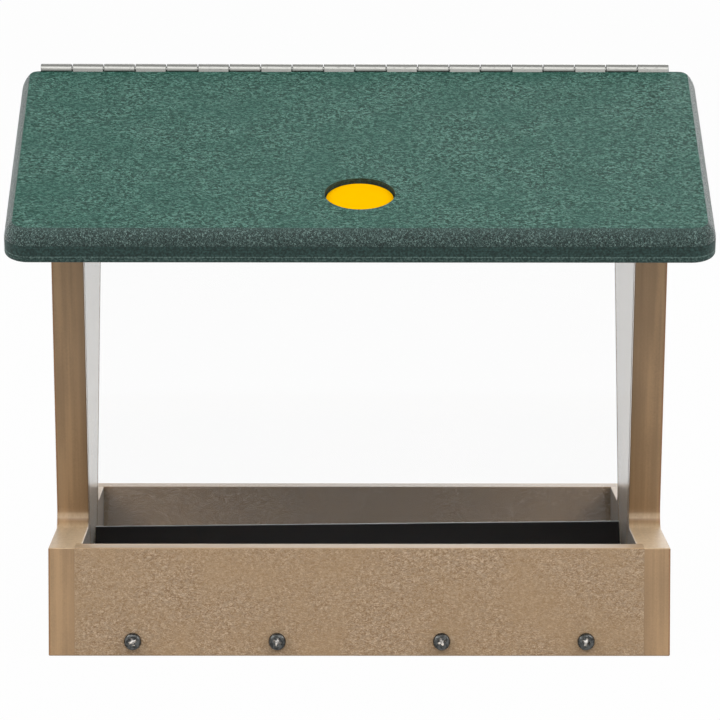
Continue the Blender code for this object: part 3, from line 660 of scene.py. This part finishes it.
def add_sheet(name, place, turn, scale):
    """A flat sheet without thickness."""
    deselect()
    bpy.ops.mesh.primitive_plane_add(size=1.0, location=place, rotation=turn)
    return named(name, scale)


def set_down(piece, matrix):
    """Put a piece where a matrix says, with its place in its mesh."""
    piece.matrix_world = matrix
    apply_place(piece)


def modify(piece, kind, **settings):
    """Give a piece a modifier, and apply it."""
    choose(piece)
    modifier = piece.modifiers.new(kind.lower(), kind)
    for key, value in settings.items():
        setattr(modifier, key, value)
    bpy.ops.object.modifier_apply(modifier=modifier.name)


def combine(piece, other, operation):
    """Join another piece to a piece or take it out, and delete it."""
    modify(piece, "BOOLEAN", operation=operation, solver="EXACT", object=other)
    bpy.data.objects.remove(other, do_unlink=True)


def cut(piece, cutter):
    """Take a cutter out of a piece, and delete it."""
    pick(piece, "FACE")
    bpy.ops.mesh.quads_convert_to_tris()
    combine(piece, cutter, "DIFFERENCE")


def thicken(piece, thickness):
    """Give a sheet its thickness, half to each side."""
    modify(piece, "SOLIDIFY", thickness=thickness, offset=0.0, use_even_offset=True)


def draw_up(height):
    """Extrude the selected faces or edges upwards."""
    bpy.ops.mesh.extrude_region_move(TRANSFORM_OT_translate={"value": (0.0, 0.0, height)})


def shift(piece, test, by):
    """Move a piece's points that pass a test."""
    pick(piece, "VERT", test)
    bpy.ops.transform.translate(value=by)
    close_edit()


def scale_across(x, y, centre):
    """Scale what is selected in x and y about a centre."""
    bpy.ops.transform.resize(value=(x, y, 1.0), center_override=centre)


def face_outwards(merge=None):
    """Turn an opened piece's faces outwards and close it, after merging doubles where a distance is given."""
    bpy.ops.mesh.select_all(action="SELECT")
    if merge:
        bpy.ops.mesh.remove_doubles(threshold=merge)
    bpy.ops.mesh.normals_make_consistent(inside=False)
    close_edit()


def slice_at(piece, spot, normal, clear=False):
    """Cut a piece along a plane, and fill the cut where the outer part is cleared away."""
    pick(piece, "FACE")
    bpy.ops.mesh.bisect(plane_co=spot, plane_no=normal, clear_outer=clear, use_fill=clear, threshold=SLIVER)
    close_edit()


def bevel(piece, radius, segments, test):
    """Round the edges that pass a test."""
    pick(piece, "EDGE", test)
    bpy.ops.mesh.bevel(offset=radius, segments=segments, profile=0.5, affect="EDGES", clamp_overlap=False)
    close_edit()


def ease_sharp_edges(piece, radius, segments=3):
    """Round every edge that is sharper than the steps of a curve."""
    pick(piece, "EDGE", lambda a, b: False)
    bpy.ops.mesh.edges_select_sharp(sharpness=CORNER)
    bpy.ops.mesh.bevel(offset=radius, segments=segments, profile=0.5, affect="EDGES", clamp_overlap=True)
    close_edit()


def dress(piece, node, materials, region=None, smooth=math.radians(32)):
    """Finish a piece: smooth shading, materials by region, and the node and body that it stands for."""
    choose(piece)
    bpy.ops.object.shade_smooth_by_angle(angle=smooth)
    if smooth:
        modify(piece, "WEIGHTED_NORMAL", keep_sharp=True)
    piece.name = node + "_dressed"
    piece.data.name = piece.name
    piece.data.materials.clear()
    for material in materials:
        piece.data.materials.append(material)
    for face in piece.data.polygons:
        face.material_index = region(face.center, face.normal) if region else 0
    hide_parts(node)
    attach(piece, BODIES[node])


def seat_of(node, facing):
    """Middle of a turned node across its axis, at its furthest reach along the way that it faces."""
    facing = Vector(facing).normalized()
    turn = facing.to_track_quat("Z", "Y").to_matrix()
    local = [turn.transposed() @ point.co for point in frame["nodes"][node].data.vertices]
    middle = [(min(p[axis] for p in local) + max(p[axis] for p in local)) / 2 for axis in (0, 1)]
    return turn @ Vector((*middle, max(p.z for p in local))), turn.to_4x4()


def screws(*starts):
    """Names of the screws that start in one of the given ways."""
    return sorted(node for node in frame["nodes"] if "screw" in node and node.startswith(starts))


def facing_of(node):
    """The way a screw's head looks, away from the boards that it goes through."""
    if node.startswith("roof"):
        return roof_facing(1)
    if node.startswith("hinge"):
        return (0.0, 1.0 if "front" in node else -1.0, 0.0)
    if node.startswith("tray"):
        return (0.0, -1.0 if "front" in node else 1.0, 0.0)
    return (-1.0 if node.startswith("left") else 1.0, 0.0, 0.0)


def drill(piece, nodes):
    """Cut the holes of the screws that go through a piece, with a countersink where a head is flush."""
    part = fittings()
    bore = part.shank / 2 + FIT_GAP
    holes = []
    for node in nodes:
        seat, axis = seat_of(node, facing_of(node))
        if node.startswith(("tray", "roof")):
            foot = -part.pan_height - part.pan_length - FIT_GAP
            hole = add_round("hole", bore, foot, part.pan_height - FIT_GAP, steps=24)
        else:
            hinge = node.startswith("hinge")
            head = (part.leaf_head if hinge else part.sunk_head) / 2 + FIT_GAP
            height = part.leaf_height if hinge else part.sunk_height
            length = part.leaf_length if hinge else part.sunk_length
            hole = add_round("hole", head, -height, FIT_GAP, steps=32)
            pick(hole, "FACE", looks_down)
            scale_across(bore / head, bore / head, (0.0, 0.0, -height))
            draw_up(height - length - FIT_GAP)
            close_edit()
        set_down(hole, Matrix.Translation(seat) @ axis)
        holes.append(hole)
    deselect()
    for hole in holes:
        hole.select_set(True)
    bpy.context.view_layer.objects.active = holes[0]
    bpy.ops.object.join()
    cut(piece, holes[0])


def slope_turn(side):
    """Turn from a roof board's own frame to the world; side is -1 for the front board and 1 for the back."""
    return (boards().pitch, 0.0, 0.0 if side < 0 else math.pi)


def roof_frame(side):
    """A roof board's own frame: x along the ridge, y up the slope, z out of its top, origin on the axis."""
    return Matrix.Translation(RIDGE_AXIS) @ Euler(slope_turn(side)).to_matrix().to_4x4()


def roof_facing(side):
    """The way a roof board's top looks."""
    return roof_frame(side).to_3x3() @ Vector((0.0, 0.0, 1.0))


class FEEDER_OT_tray(Operator):
    """Model the tray's two walls and its floor"""
    bl_idname = "feeder.tray"
    bl_label = "Tray boards"

    def execute(self, context):
        part, tone = boards(), colours()
        face = tan_face("tan_face_tray", 0, 0.04 * MM, TRAY_GLOSS)
        edge = lumber_cut("tan_edge_tray", tone.tan_cut, thickness_way=1)
        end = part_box("side_panel_right")[0].x + part.rabbet - HAIR
        for node in ("tray_front_wall", "tray_back_wall"):
            low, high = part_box(node)
            wall = add_block(node, (-end, low.y, low.z), (end, high.y, high.z))
            bevel(wall, part.ease, 3, lambda a, b: abs(a.x - b.x) > MM)
            label = node.split("_")[1]
            drill(wall, screws("tray_" + label, "left_" + label, "right_" + label))
            dress(wall, node, (face, edge), lambda centre, normal: 0 if abs(normal.y) > 0.95 else 1)
        floor = add_block("tray_floor", *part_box("tray_floor"))
        bevel(floor, part.drain, 1, lambda a, b: abs(a.z - b.z) > MM)
        ease_sharp_edges(floor, part.ease)
        drill(floor, screws("tray", "left_floor", "right_floor"))
        dress(floor, "tray_floor", (face, edge), lambda centre, normal: 0 if abs(normal.z) > 0.95 else 1)
        return {"FINISHED"}


class FEEDER_OT_end_panels(Operator):
    """Model the two end panels with their shoulders, coves, gables, rabbets and window grooves"""
    bl_idname = "feeder.end_panels"
    bl_label = "End panels"

    def blank(self, node):
        """The sawn panel: a block whose middle is drawn up along the leaning edges to the gable."""
        part = boards()
        low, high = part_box(node)
        middle = (low.x + high.x) / 2
        lean, slope = math.tan(part.splay), math.tan(part.pitch)
        eave_z = (APEX_Z - (part.neck - RIM_Z * lean) * slope) / (1 + lean * slope)
        eave_y = part.neck + (eave_z - RIM_Z) * lean
        panel = add_block(node, low, (high.x, high.y, RIM_Z))
        for side in (-1, 1):
            slice_at(panel, (0.0, side * part.neck, 0.0), (0.0, 1.0, 0.0))
        pick(panel, "FACE", lambda centre, normal: normal.z > 0.9 and abs(centre.y) < HAIR)
        draw_up(eave_z - RIM_Z)
        scale_across(1.0, eave_y / part.neck, (middle, 0.0, eave_z))
        draw_up(APEX_Z - eave_z)
        scale_across(1.0, 0.0, (middle, 0.0, APEX_Z))
        face_outwards(merge=HAIR)
        return panel

    def execute(self, context):
        part, tone = boards(), colours()
        face = tan_face("tan_face_ends", 2, 0.06 * MM, END_GLOSS)
        edge = lumber_cut("tan_edge_ends", tone.tan_cut, thickness_way=0)
        reach = part.cove / math.tan((math.pi / 2 - part.splay) / 2)
        for node, side in (("side_panel_left", -1), ("side_panel_right", 1)):
            panel = self.blank(node)
            bevel(panel, reach, 10, lambda a, b: all(abs(p.z - RIM_Z) < HAIR for p in (a, b))
                  and abs(abs(a.y) - part.neck) < HAIR and abs(a.y - b.y) < HAIR)
            ease_sharp_edges(panel, part.ease)
            self.cut_seats(panel, node, side)
            label = node.split("_")[-1]
            drill(panel, screws(label, "roof_" + label))
            dress(panel, node, (face, edge), lambda centre, normal: 0 if abs(normal.x) > 0.95 else 1)
        return {"FINISHED"}

    def cut_seats(self, panel, node, side):
        """Let in the tray walls' ends and the windows' edges."""
        part = boards()
        low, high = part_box(node)
        inner = high.x if side < 0 else low.x
        depth = sorted((inner - side * MM, inner + side * part.rabbet))
        wall_inside = abs(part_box("tray_front_wall")[1].y)
        for y_side in (-1, 1):
            across = sorted((y_side * (wall_inside - FIT_GAP), y_side * (WALL_Y + MM)))
            cut(panel, add_block("rabbet", (depth[0], across[0], -MM), (depth[1], across[1], RIM_Z + MM)))
        depth = sorted((inner - side * MM, inner + side * part.groove))
        foot = (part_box("window_front")[0].z - RIM_Z) / math.cos(part.splay) - 2 * MM
        for y_side in (-1, 1):
            groove = add_block("groove", (depth[0], part.inset - FIT_GAP, foot),
                               (depth[1], part.inset + part.window + FIT_GAP, APEX_Z))
            to_edge = Matrix.Translation((0.0, y_side * part.neck, RIM_Z))
            turn = Matrix.Rotation(-part.splay * y_side, 4, "X") @ Matrix.Diagonal((1.0, -y_side, 1.0, 1.0))
            set_down(groove, to_edge @ turn)
            pick(groove, "FACE")
            face_outwards()
            cut(panel, groove)


class FEEDER_OT_roof(Operator):
    """Model the two roof boards with their routed noses, and the badge's recess in the front one"""
    bl_idname = "feeder.roof"
    bl_label = "Roof boards"

    def board(self, node):
        """A roof board in its own frame."""
        part = boards()
        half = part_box(node)[1].x
        ridge_y, top = ridge_edge()
        eave_y = ridge_y - part.roof_length
        foot, shoulder = top - part.roof_board, top - part.nose_height
        board = add_block(node, (-half, eave_y, foot), (half, ridge_y + 2 * part.roof_board, shoulder))
        bevel(board, part.eave_corner, 14, lambda a, b: abs(a.z - b.z) > MM and abs(a.y - eave_y) < HAIR)
        bevel(board, part.under_ease, 4, lambda a, b: max(a.z, b.z) < foot + HAIR)
        pick(board, "FACE", lambda centre, normal: centre.z > shoulder - HAIR)
        radius, height, steps = part.nose_radius, part.nose_height, 10
        for step in range(steps):
            low, high = height * step / steps, height * (step + 1) / steps
            inset = math.sqrt(radius ** 2 - low ** 2) - math.sqrt(radius ** 2 - high ** 2)
            bpy.ops.mesh.inset(thickness=inset, depth=high - low, use_even_offset=True, use_boundary=True)
        close_edit()
        plumb = Vector((0.0, math.cos(part.pitch), -math.sin(part.pitch)))
        edge = Vector((0.0, ridge_y, top))
        slice_at(board, edge, plumb, clear=True)
        bevel(board, part.ridge_corner, 5, lambda a, b: min(abs(a.x), abs(b.x)) > half - 2 * radius
              and all(abs((p - edge).dot(plumb)) < HAIR for p in (a, b)) and abs(a.z - b.z) > 0.01 * MM)
        return board

    def execute(self, context):
        part, tone = boards(), colours()
        for node, side in (("roof_panel_front", -1), ("roof_panel_back", 1)):
            label = node.split("_")[-1]
            place = {"origin": tuple(RIDGE_AXIS), "turn": slope_turn(side)}
            board, top = self.board(node), ridge_edge()[1]
            if side < 0:
                self.cut_recess(board, top)
            shoulder = top - part.nose_height
            to_own = roof_frame(side).inverted()
            set_down(board, roof_frame(side))
            drill(board, screws("hinge_front") if side < 0 else screws("hinge_back", "roof"))
            greens = (tone.green_deep, tone.green, tone.green_pale, tone.green_patch)
            face = lumber_face("green_face_" + label, greens, 0, fleck=(1.9 * MM, 1.4 * MM), wave=1.1,
                               contrast=6.0, relief=0.2 * MM, gloss=ROOF_GLOSS, **place)
            nose = routed_nose("green_nose_" + label, tone.green_cut, **place)
            band = band_of_roof("green_band_" + label, tone.green_cut, **place)

            def region(centre, normal):
                own, way = to_own @ centre, to_own.to_3x3() @ normal
                if way.z > 0.98 and own.z > top - HAIR or way.z < -0.98:
                    return 0
                ridge = way.y > 0.8
                return 1 if own.z > shoulder and not ridge and way.z > 0.05 else 2
            dress(board, node, (face, nose, band), region)
        return {"FINISHED"}

    def cut_recess(self, board, top):
        """Sink the round recess that holds the badge disc."""
        part = fittings()
        seat = roof_frame(-1).inverted() @ seat_of("badge_disc", roof_facing(-1))[0]
        floor = seat.z - part.disc_thickness - FIT_GAP
        radius = part.disc / 2 + part.disc_play
        cutter = add_round("recess", radius, floor, top + MM, steps=96)
        set_down(cutter, Matrix.Translation((seat.x, seat.y, 0.0)))
        cut(board, cutter)


class FEEDER_OT_badge(Operator):
    """Model the bare badge disc"""
    bl_idname = "feeder.badge"
    bl_label = "Badge disc"

    def execute(self, context):
        part = fittings()
        seat, turn = seat_of("badge_disc", roof_facing(-1))
        disc = add_round("badge_disc", part.disc / 2, -part.disc_thickness, 0.0, steps=96)
        ease_sharp_edges(disc, part.disc_thickness / 4)
        set_down(disc, Matrix.Translation(seat) @ turn)
        dress(disc, "badge_disc", (badge_yellow(),))
        return {"FINISHED"}


class FEEDER_OT_hinge(Operator):
    """Model the continuous hinge: two leaves with rolled knuckles, and the pin"""
    bl_idname = "feeder.hinge"
    bl_label = "Ridge hinge"

    def leaf(self, length):
        """The front leaf on the pin's axis: a sheet whose every second stretch is rolled over the pin."""
        part = fittings()
        pitch = length / part.knuckles
        middle = part.pin / 2 + part.pin_play + part.leaf / 2
        top = -middle - part.leaf
        leaf = add_sheet("hinge_leaf", (0.0, -middle, (top - part.leaf_drop) / 2), (math.pi / 2, 0.0, 0.0),
                         (length, part.leaf_drop + top, 1.0))
        for border in range(1, part.knuckles):
            for gap_side in (-1, 1):
                spot = border * pitch - length / 2 + gap_side * part.knuckle_gap / 2
                slice_at(leaf, (spot, 0.0, 0.0), (1.0, 0.0, 0.0))

        def rolled(a, b):
            place = ((a.x + b.x) / 2 + length / 2) / pitch
            on_top = min(a.z, b.z) > top - HAIR
            return on_top and abs(a.x - b.x) > part.knuckle_gap + HAIR and int(place) % 2 == 1
        pick(leaf, "EDGE", rolled)
        draw_up(-top)
        bpy.ops.mesh.spin(steps=26, angle=KNUCKLE_ROLL, center=(0.0, 0.0, 0.0), axis=(1.0, 0.0, 0.0))
        face_outwards(merge=HAIR)
        thicken(leaf, part.leaf)
        outside = middle + part.leaf / 2 - HAIR

        def knuckle_end(a, b):
            return abs(a.x - b.x) < HAIR and min(a.yz.length, b.yz.length) > outside and max(a.z, b.z) > -HAIR
        bevel(leaf, part.knuckle_ease, 3, knuckle_end)
        return leaf

    def execute(self, context):
        part = fittings()
        low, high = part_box("hinge_pin")
        length = high.x - low.x
        metal = rolled_aluminium()
        # Painted shade: dark steel on the knuckles' ends stands for the shade in the gaps between knuckles
        knuckle_end_shade = screw_steel("hinge_knuckle_end_shade", colours().steel)
        place = Matrix.Translation((HINGE_X, 0.0, RIDGE_AXIS.z))
        for node, turn in (("hinge_leaf_front", 0.0), ("hinge_leaf_back", math.pi)):
            leaf = self.leaf(length)
            set_down(leaf, place @ Matrix.Rotation(turn, 4, "Z"))
            label = node.split("_")[-1]
            drill(leaf, screws("hinge_" + label))
            dress(leaf, node, (metal, knuckle_end_shade), lambda centre, normal: 1 if abs(normal.x) > 0.4 else 0)
        pin = add_round("hinge_pin", part.pin / 2, -length / 2, length / 2, steps=32)
        ease_sharp_edges(pin, part.pin / 6)
        set_down(pin, place @ Matrix.Rotation(math.pi / 2, 4, "Y"))
        dress(pin, "hinge_pin", (metal,))
        return {"FINISHED"}


class FEEDER_OT_windows(Operator):
    """Give the two clear windows their sawn edges"""
    bl_idname = "feeder.windows"
    bl_label = "Windows"

    def execute(self, context):
        glass, edge = clear_sheet(), sawn_clear_edge()
        for node in ("window_front", "window_back"):
            deselect()
            window = frame["nodes"][node].copy()
            window.data = frame["nodes"][node].data.copy()
            window.parent = None
            context.scene.collection.objects.link(window)
            pick(window, "FACE")
            bpy.ops.mesh.remove_doubles(threshold=SLIVER)
            bpy.ops.mesh.dissolve_limited(angle_limit=math.radians(1))
            close_edit()
            ease_sharp_edges(window, SHEET_EDGE, 2)
            dress(window, node, (glass, edge), lambda centre, normal: 1 if abs(normal.y) < 0.8 else 0,
                  smooth=0.0)
        return {"FINISHED"}


class FEEDER_OT_diverter(Operator):
    """Model the folded black sheet that parts the seed"""
    bl_idname = "feeder.diverter"
    bl_label = "Seed diverter"

    def execute(self, context):
        part = fittings()
        points = [point.co for point in frame["nodes"]["seed_diverter"].data.vertices]
        low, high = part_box("seed_diverter")
        floor_z = low.z + part.sheet / 2
        spread = 0.5    # half the sheet's width before its feet are drawn in
        sheet = add_sheet("diverter", ((high.x + low.x) / 2, 0.0, floor_z), (0.0, 0.0, 0.0),
                          (high.x - low.x, 2 * spread, 1.0))
        slice_at(sheet, (0.0, 0.0, 0.0), (0.0, 1.0, 0.0))
        for end in (low.x, high.x):
            here = [p for p in points if abs(p.x - end) < MM]
            foot = max(p.y for p in here) - part.sheet / 2
            fold_z = max(p.z for p in here) - part.sheet / 2
            for side in (-1, 1):
                shift(sheet, lambda p: abs(p.x - end) < HAIR and abs(p.y - side * spread) < HAIR,
                      (0.0, side * (foot - spread), 0.0))
            slope = math.atan2(fold_z - floor_z, foot)
            lift = part.fold * (1 / math.cos(slope) - 1)
            shift(sheet, lambda p: abs(p.x - end) < HAIR and abs(p.y) < HAIR,
                  (0.0, 0.0, fold_z - floor_z + lift))
        bevel(sheet, part.fold * math.tan(slope), 6, lambda a, b: abs(a.y) < HAIR and abs(b.y) < HAIR)
        thicken(sheet, part.sheet)
        ease_sharp_edges(sheet, SHEET_EDGE, 2)
        dress(sheet, "seed_diverter", (black_coat(), screw_steel("sheared_edge", colours().bright_steel_and_glint)),
              lambda centre, normal: 1 if abs(normal.x) > 0.3 else 0)
        return {"FINISHED"}


def cut_cross(screw, cross, top):
    """Sink a driver's cross, which narrows as it goes down, into a screw's head."""
    foot = top - cross.depth
    arms = []
    for x, y in ((cross.span / 2, cross.width / 2), (cross.width / 2, cross.span / 2)):
        arm = add_block("cross", (-x, -y, foot), (x, y, top + MM))
        pick(arm, "FACE", looks_down)
        scale_across(CROSS_TAPER, CROSS_TAPER, (0.0, 0.0, foot))
        close_edit()
        arms.append(arm)
    combine(*arms, "UNION")
    cut(screw, arms[0])


def lengthen_shank(screw, radius, length, bottom):
    """Draw the shank and its point out of the underside of a screw's head."""
    pick(screw, "FACE", lambda centre, normal: looks_down(centre, normal) and centre.xy.length < radius / 2
         and centre.z < bottom + HAIR)
    head = max(point.co.xy.length for point in screw.data.vertices if abs(point.co.z - bottom) < HAIR)
    if head > radius + HAIR:
        bpy.ops.mesh.inset(thickness=head - radius, depth=0.0, use_boundary=True)
    draw_up(POINT_LENGTH - length)
    draw_up(-POINT_LENGTH)
    scale_across(POINT_TIP, POINT_TIP, (0.0, 0.0, bottom - length))
    close_edit()


def countersunk_screw(name, head, height, length, cross):
    """A flush-headed screw with its head's top at the origin."""
    part = fittings()
    screw = add_round(name, head / 2, -height, 0.0)
    pick(screw, "FACE", looks_down)
    taper = part.shank / head
    scale_across(taper, taper, (0.0, 0.0, -height))
    close_edit()
    bevel(screw, FLUSH_RIM, 2, lambda a, b: min(a.z, b.z) > -HAIR)
    lengthen_shank(screw, part.shank / 2, length - height, -height)
    cut_cross(screw, cross, 0.0)
    return screw


def screw_finishes():
    """Dark heads, and crosses that the driver wore bright, also painted bright for the glint in their recess."""
    tone = colours()
    return (screw_steel("screw_metal", tone.steel, darkest=0.35, worn=1.0),
            # The cross: worn bright, with a painted glint
            screw_steel("screw_worn_and_glint", tone.bright_steel_and_glint, darkest=0.08, worn=1.6))


def copy_screws(screw, names, materials, cross):
    """Set a copy of a screw at each node, its cross turned as it was driven, and delete the pattern.

    The second material goes on the cross.
    """
    height = max(point.co.z for point in screw.data.vertices)
    for number, node in enumerate(names):
        choose(screw)
        bpy.ops.object.duplicate(linked=False)
        copy = bpy.context.object
        seat, turn = seat_of(node, facing_of(node))
        driven = Matrix.Rotation(number * DRIVEN_TURN, 4, "Z")
        set_down(copy, Matrix.Translation(seat) @ turn @ driven @ Matrix.Translation((0.0, 0.0, -height)))
        to_own = (Matrix.Translation(seat) @ turn).inverted()

        def region(centre, normal):
            own = to_own @ centre
            return 1 if own.xy.length < cross.span / 2 and -cross.depth - HAIR < own.z < -cross.depth / 6 else 0
        dress(copy, node, materials, region)
    bpy.data.objects.remove(screw, do_unlink=True)


class FEEDER_OT_board_screws(Operator):
    """Model the pan-head screws of the tray and the roof, and the end panels' flush ones"""
    bl_idname = "feeder.board_screws"
    bl_label = "Board screws"

    def execute(self, context):
        part = fittings()
        finishes = screw_finishes()
        height = part.pan_height
        pan = add_round("pan_screw", part.pan_head / 2, 0.0, height)
        bevel(pan, height * PAN_CROWN, 8, lambda a, b: min(a.z, b.z) > height - HAIR)
        bevel(pan, PAN_RIM, 2, lambda a, b: max(a.z, b.z) < HAIR)
        lengthen_shank(pan, part.shank / 2, part.pan_length, 0.0)
        cut_cross(pan, PAN_CROSS, height)
        copy_screws(pan, screws("tray", "roof"), finishes, PAN_CROSS)
        sunk = countersunk_screw("sunk_screw", part.sunk_head, part.sunk_height, part.sunk_length, SUNK_CROSS)
        copy_screws(sunk, screws("left", "right"), finishes, SUNK_CROSS)
        return {"FINISHED"}


class FEEDER_OT_hinge_screws(Operator):
    """Model the flat-head screws that hold the hinge's leaves"""
    bl_idname = "feeder.hinge_screws"
    bl_label = "Hinge screws"

    def execute(self, context):
        part = fittings()
        screw = countersunk_screw("leaf_screw", part.leaf_head, part.leaf_height, part.leaf_length, LEAF_CROSS)
        copy_screws(screw, screws("hinge"), screw_finishes(), LEAF_CROSS)
        return {"FINISHED"}


def studio_world():
    """Soft white surroundings, with a dimmer ceiling for what mirrors it.

    They are plain white where the camera or clear sheet looks at them, and where metal mirrors them.
    """
    world = bpy.data.worlds.new("studio")
    bpy.context.scene.world = world
    sky = Nodes(world)
    way = sky.node("ShaderNodeTexCoord", output="Generated")
    ceiling = sky.node("ShaderNodeSeparateXYZ", {}, {"Vector": way}, "Z").ramp_up(0.35, 0.75)
    mirrored = sky.rays("Glossy") * (1.0 - sky.rays("Transmission"))
    seen = sky.rays("Camera", "Transmission", "Glossy") - ceiling * mirrored * CEILING_DIM
    light = sky.node("ShaderNodeBackground", {}, {"Color": (1.0, 1.0, 1.0),
                                                  "Strength": seen * (1.0 - AMBIENT) + AMBIENT})
    sky.node("ShaderNodeOutputWorld", {}, {"Surface": light})


def pale_floor():
    """A white floor that keeps the feeder's shadow, pale enough to run into the background."""
    finish = Finish("pale_floor")
    matte = finish.node("ShaderNodeBsdfDiffuse", {}, {"Color": (0.55, 0.55, 0.55)}, "BSDF")
    glow = finish.node("ShaderNodeEmission", {}, {"Color": (1.0, 1.0, 1.0), "Strength": 1.0}, "Emission")
    seen = finish.rays("Camera", "Glossy", "Transmission")
    return finish.close(finish.node("ShaderNodeMixShader", {}, {0: seen * FLOOR_GLOW, 1: matte, 2: glow}))


def add_lamp(name, place, size, power):
    """A soft square lamp that looks at the feeder."""
    deselect()
    bpy.ops.object.light_add(type="AREA", location=place)
    lamp = bpy.context.object
    lamp.name = name
    lamp.data.shape = "SQUARE"
    lamp.data.size = size
    lamp.data.energy = power
    lamp.rotation_euler = (LAMP_TARGET - Vector(place)).to_track_quat("-Z", "Y").to_euler()


class FEEDER_OT_studio(Operator):
    """Set up the pale floor, the soft lamps and the camera"""
    bl_idname = "feeder.studio"
    bl_label = "Studio"

    def execute(self, context):
        deselect()
        bpy.ops.mesh.primitive_plane_add(size=FLOOR_SIZE, location=(0.0, 0.0, -FLOOR_GAP))
        floor = context.object
        floor.name = "studio_floor"
        floor.data.materials.append(pale_floor())
        studio_world()
        for lamp in LAMPS:
            add_lamp(*lamp)
        deselect()
        bpy.ops.object.camera_add(location=CAMERA_PLACE)
        camera = context.object
        camera.name = "photo_camera"
        camera.data.lens = CAMERA_LENS
        camera.data.clip_end = 50.0
        look = Euler((math.pi / 2 - CAMERA_TILT, 0.0, -CAMERA_YAW)).to_matrix()
        camera.rotation_euler = (look @ Matrix.Rotation(CAMERA_ROLL, 3, "Z")).to_euler()
        context.scene.camera = camera
        context.scene.view_settings.view_transform = "Standard"
        return {"FINISHED"}


STEPS = (FEEDER_OT_tray, FEEDER_OT_end_panels, FEEDER_OT_roof, FEEDER_OT_badge, FEEDER_OT_hinge,
         FEEDER_OT_windows, FEEDER_OT_diverter, FEEDER_OT_board_screws, FEEDER_OT_hinge_screws,
         FEEDER_OT_studio)
GROUPS = {"feeder_boards": FEEDER_PG_boards, "feeder_fittings": FEEDER_PG_fittings,
          "feeder_colours": FEEDER_PG_colours}


class FEEDER_PT_panel(Panel):
    """The feeder's pieces and sizes in the sidebar"""
    bl_label = "Hopper bird feeder"
    bl_idname = "FEEDER_PT_panel"
    bl_space_type = "VIEW_3D"
    bl_region_type = "UI"
    bl_category = "Feeder"

    def draw(self, context):
        for step in STEPS:
            self.layout.operator(step.bl_idname)
        for name, group in GROUPS.items():
            box = self.layout.box()
            for key in group.__annotations__:
                box.prop(getattr(context.scene, name), key)


def register():
    for group in GROUPS.values():
        bpy.utils.register_class(group)
    for step in STEPS:
        bpy.utils.register_class(step)
    bpy.utils.register_class(FEEDER_PT_panel)
    for name, group in GROUPS.items():
        setattr(bpy.types.Scene, name, PointerProperty(type=group))


def unregister():
    for name in GROUPS:
        delattr(bpy.types.Scene, name)
    bpy.utils.unregister_class(FEEDER_PT_panel)
    for cls in reversed((*GROUPS.values(), *STEPS)):
        bpy.utils.unregister_class(cls)


def main():
    """Run every step in order."""
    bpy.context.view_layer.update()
    register()
    for step in STEPS:
        group, name = step.bl_idname.split(".")
        getattr(getattr(bpy.ops, group), name)()


if __name__ == "__main__":
    main()
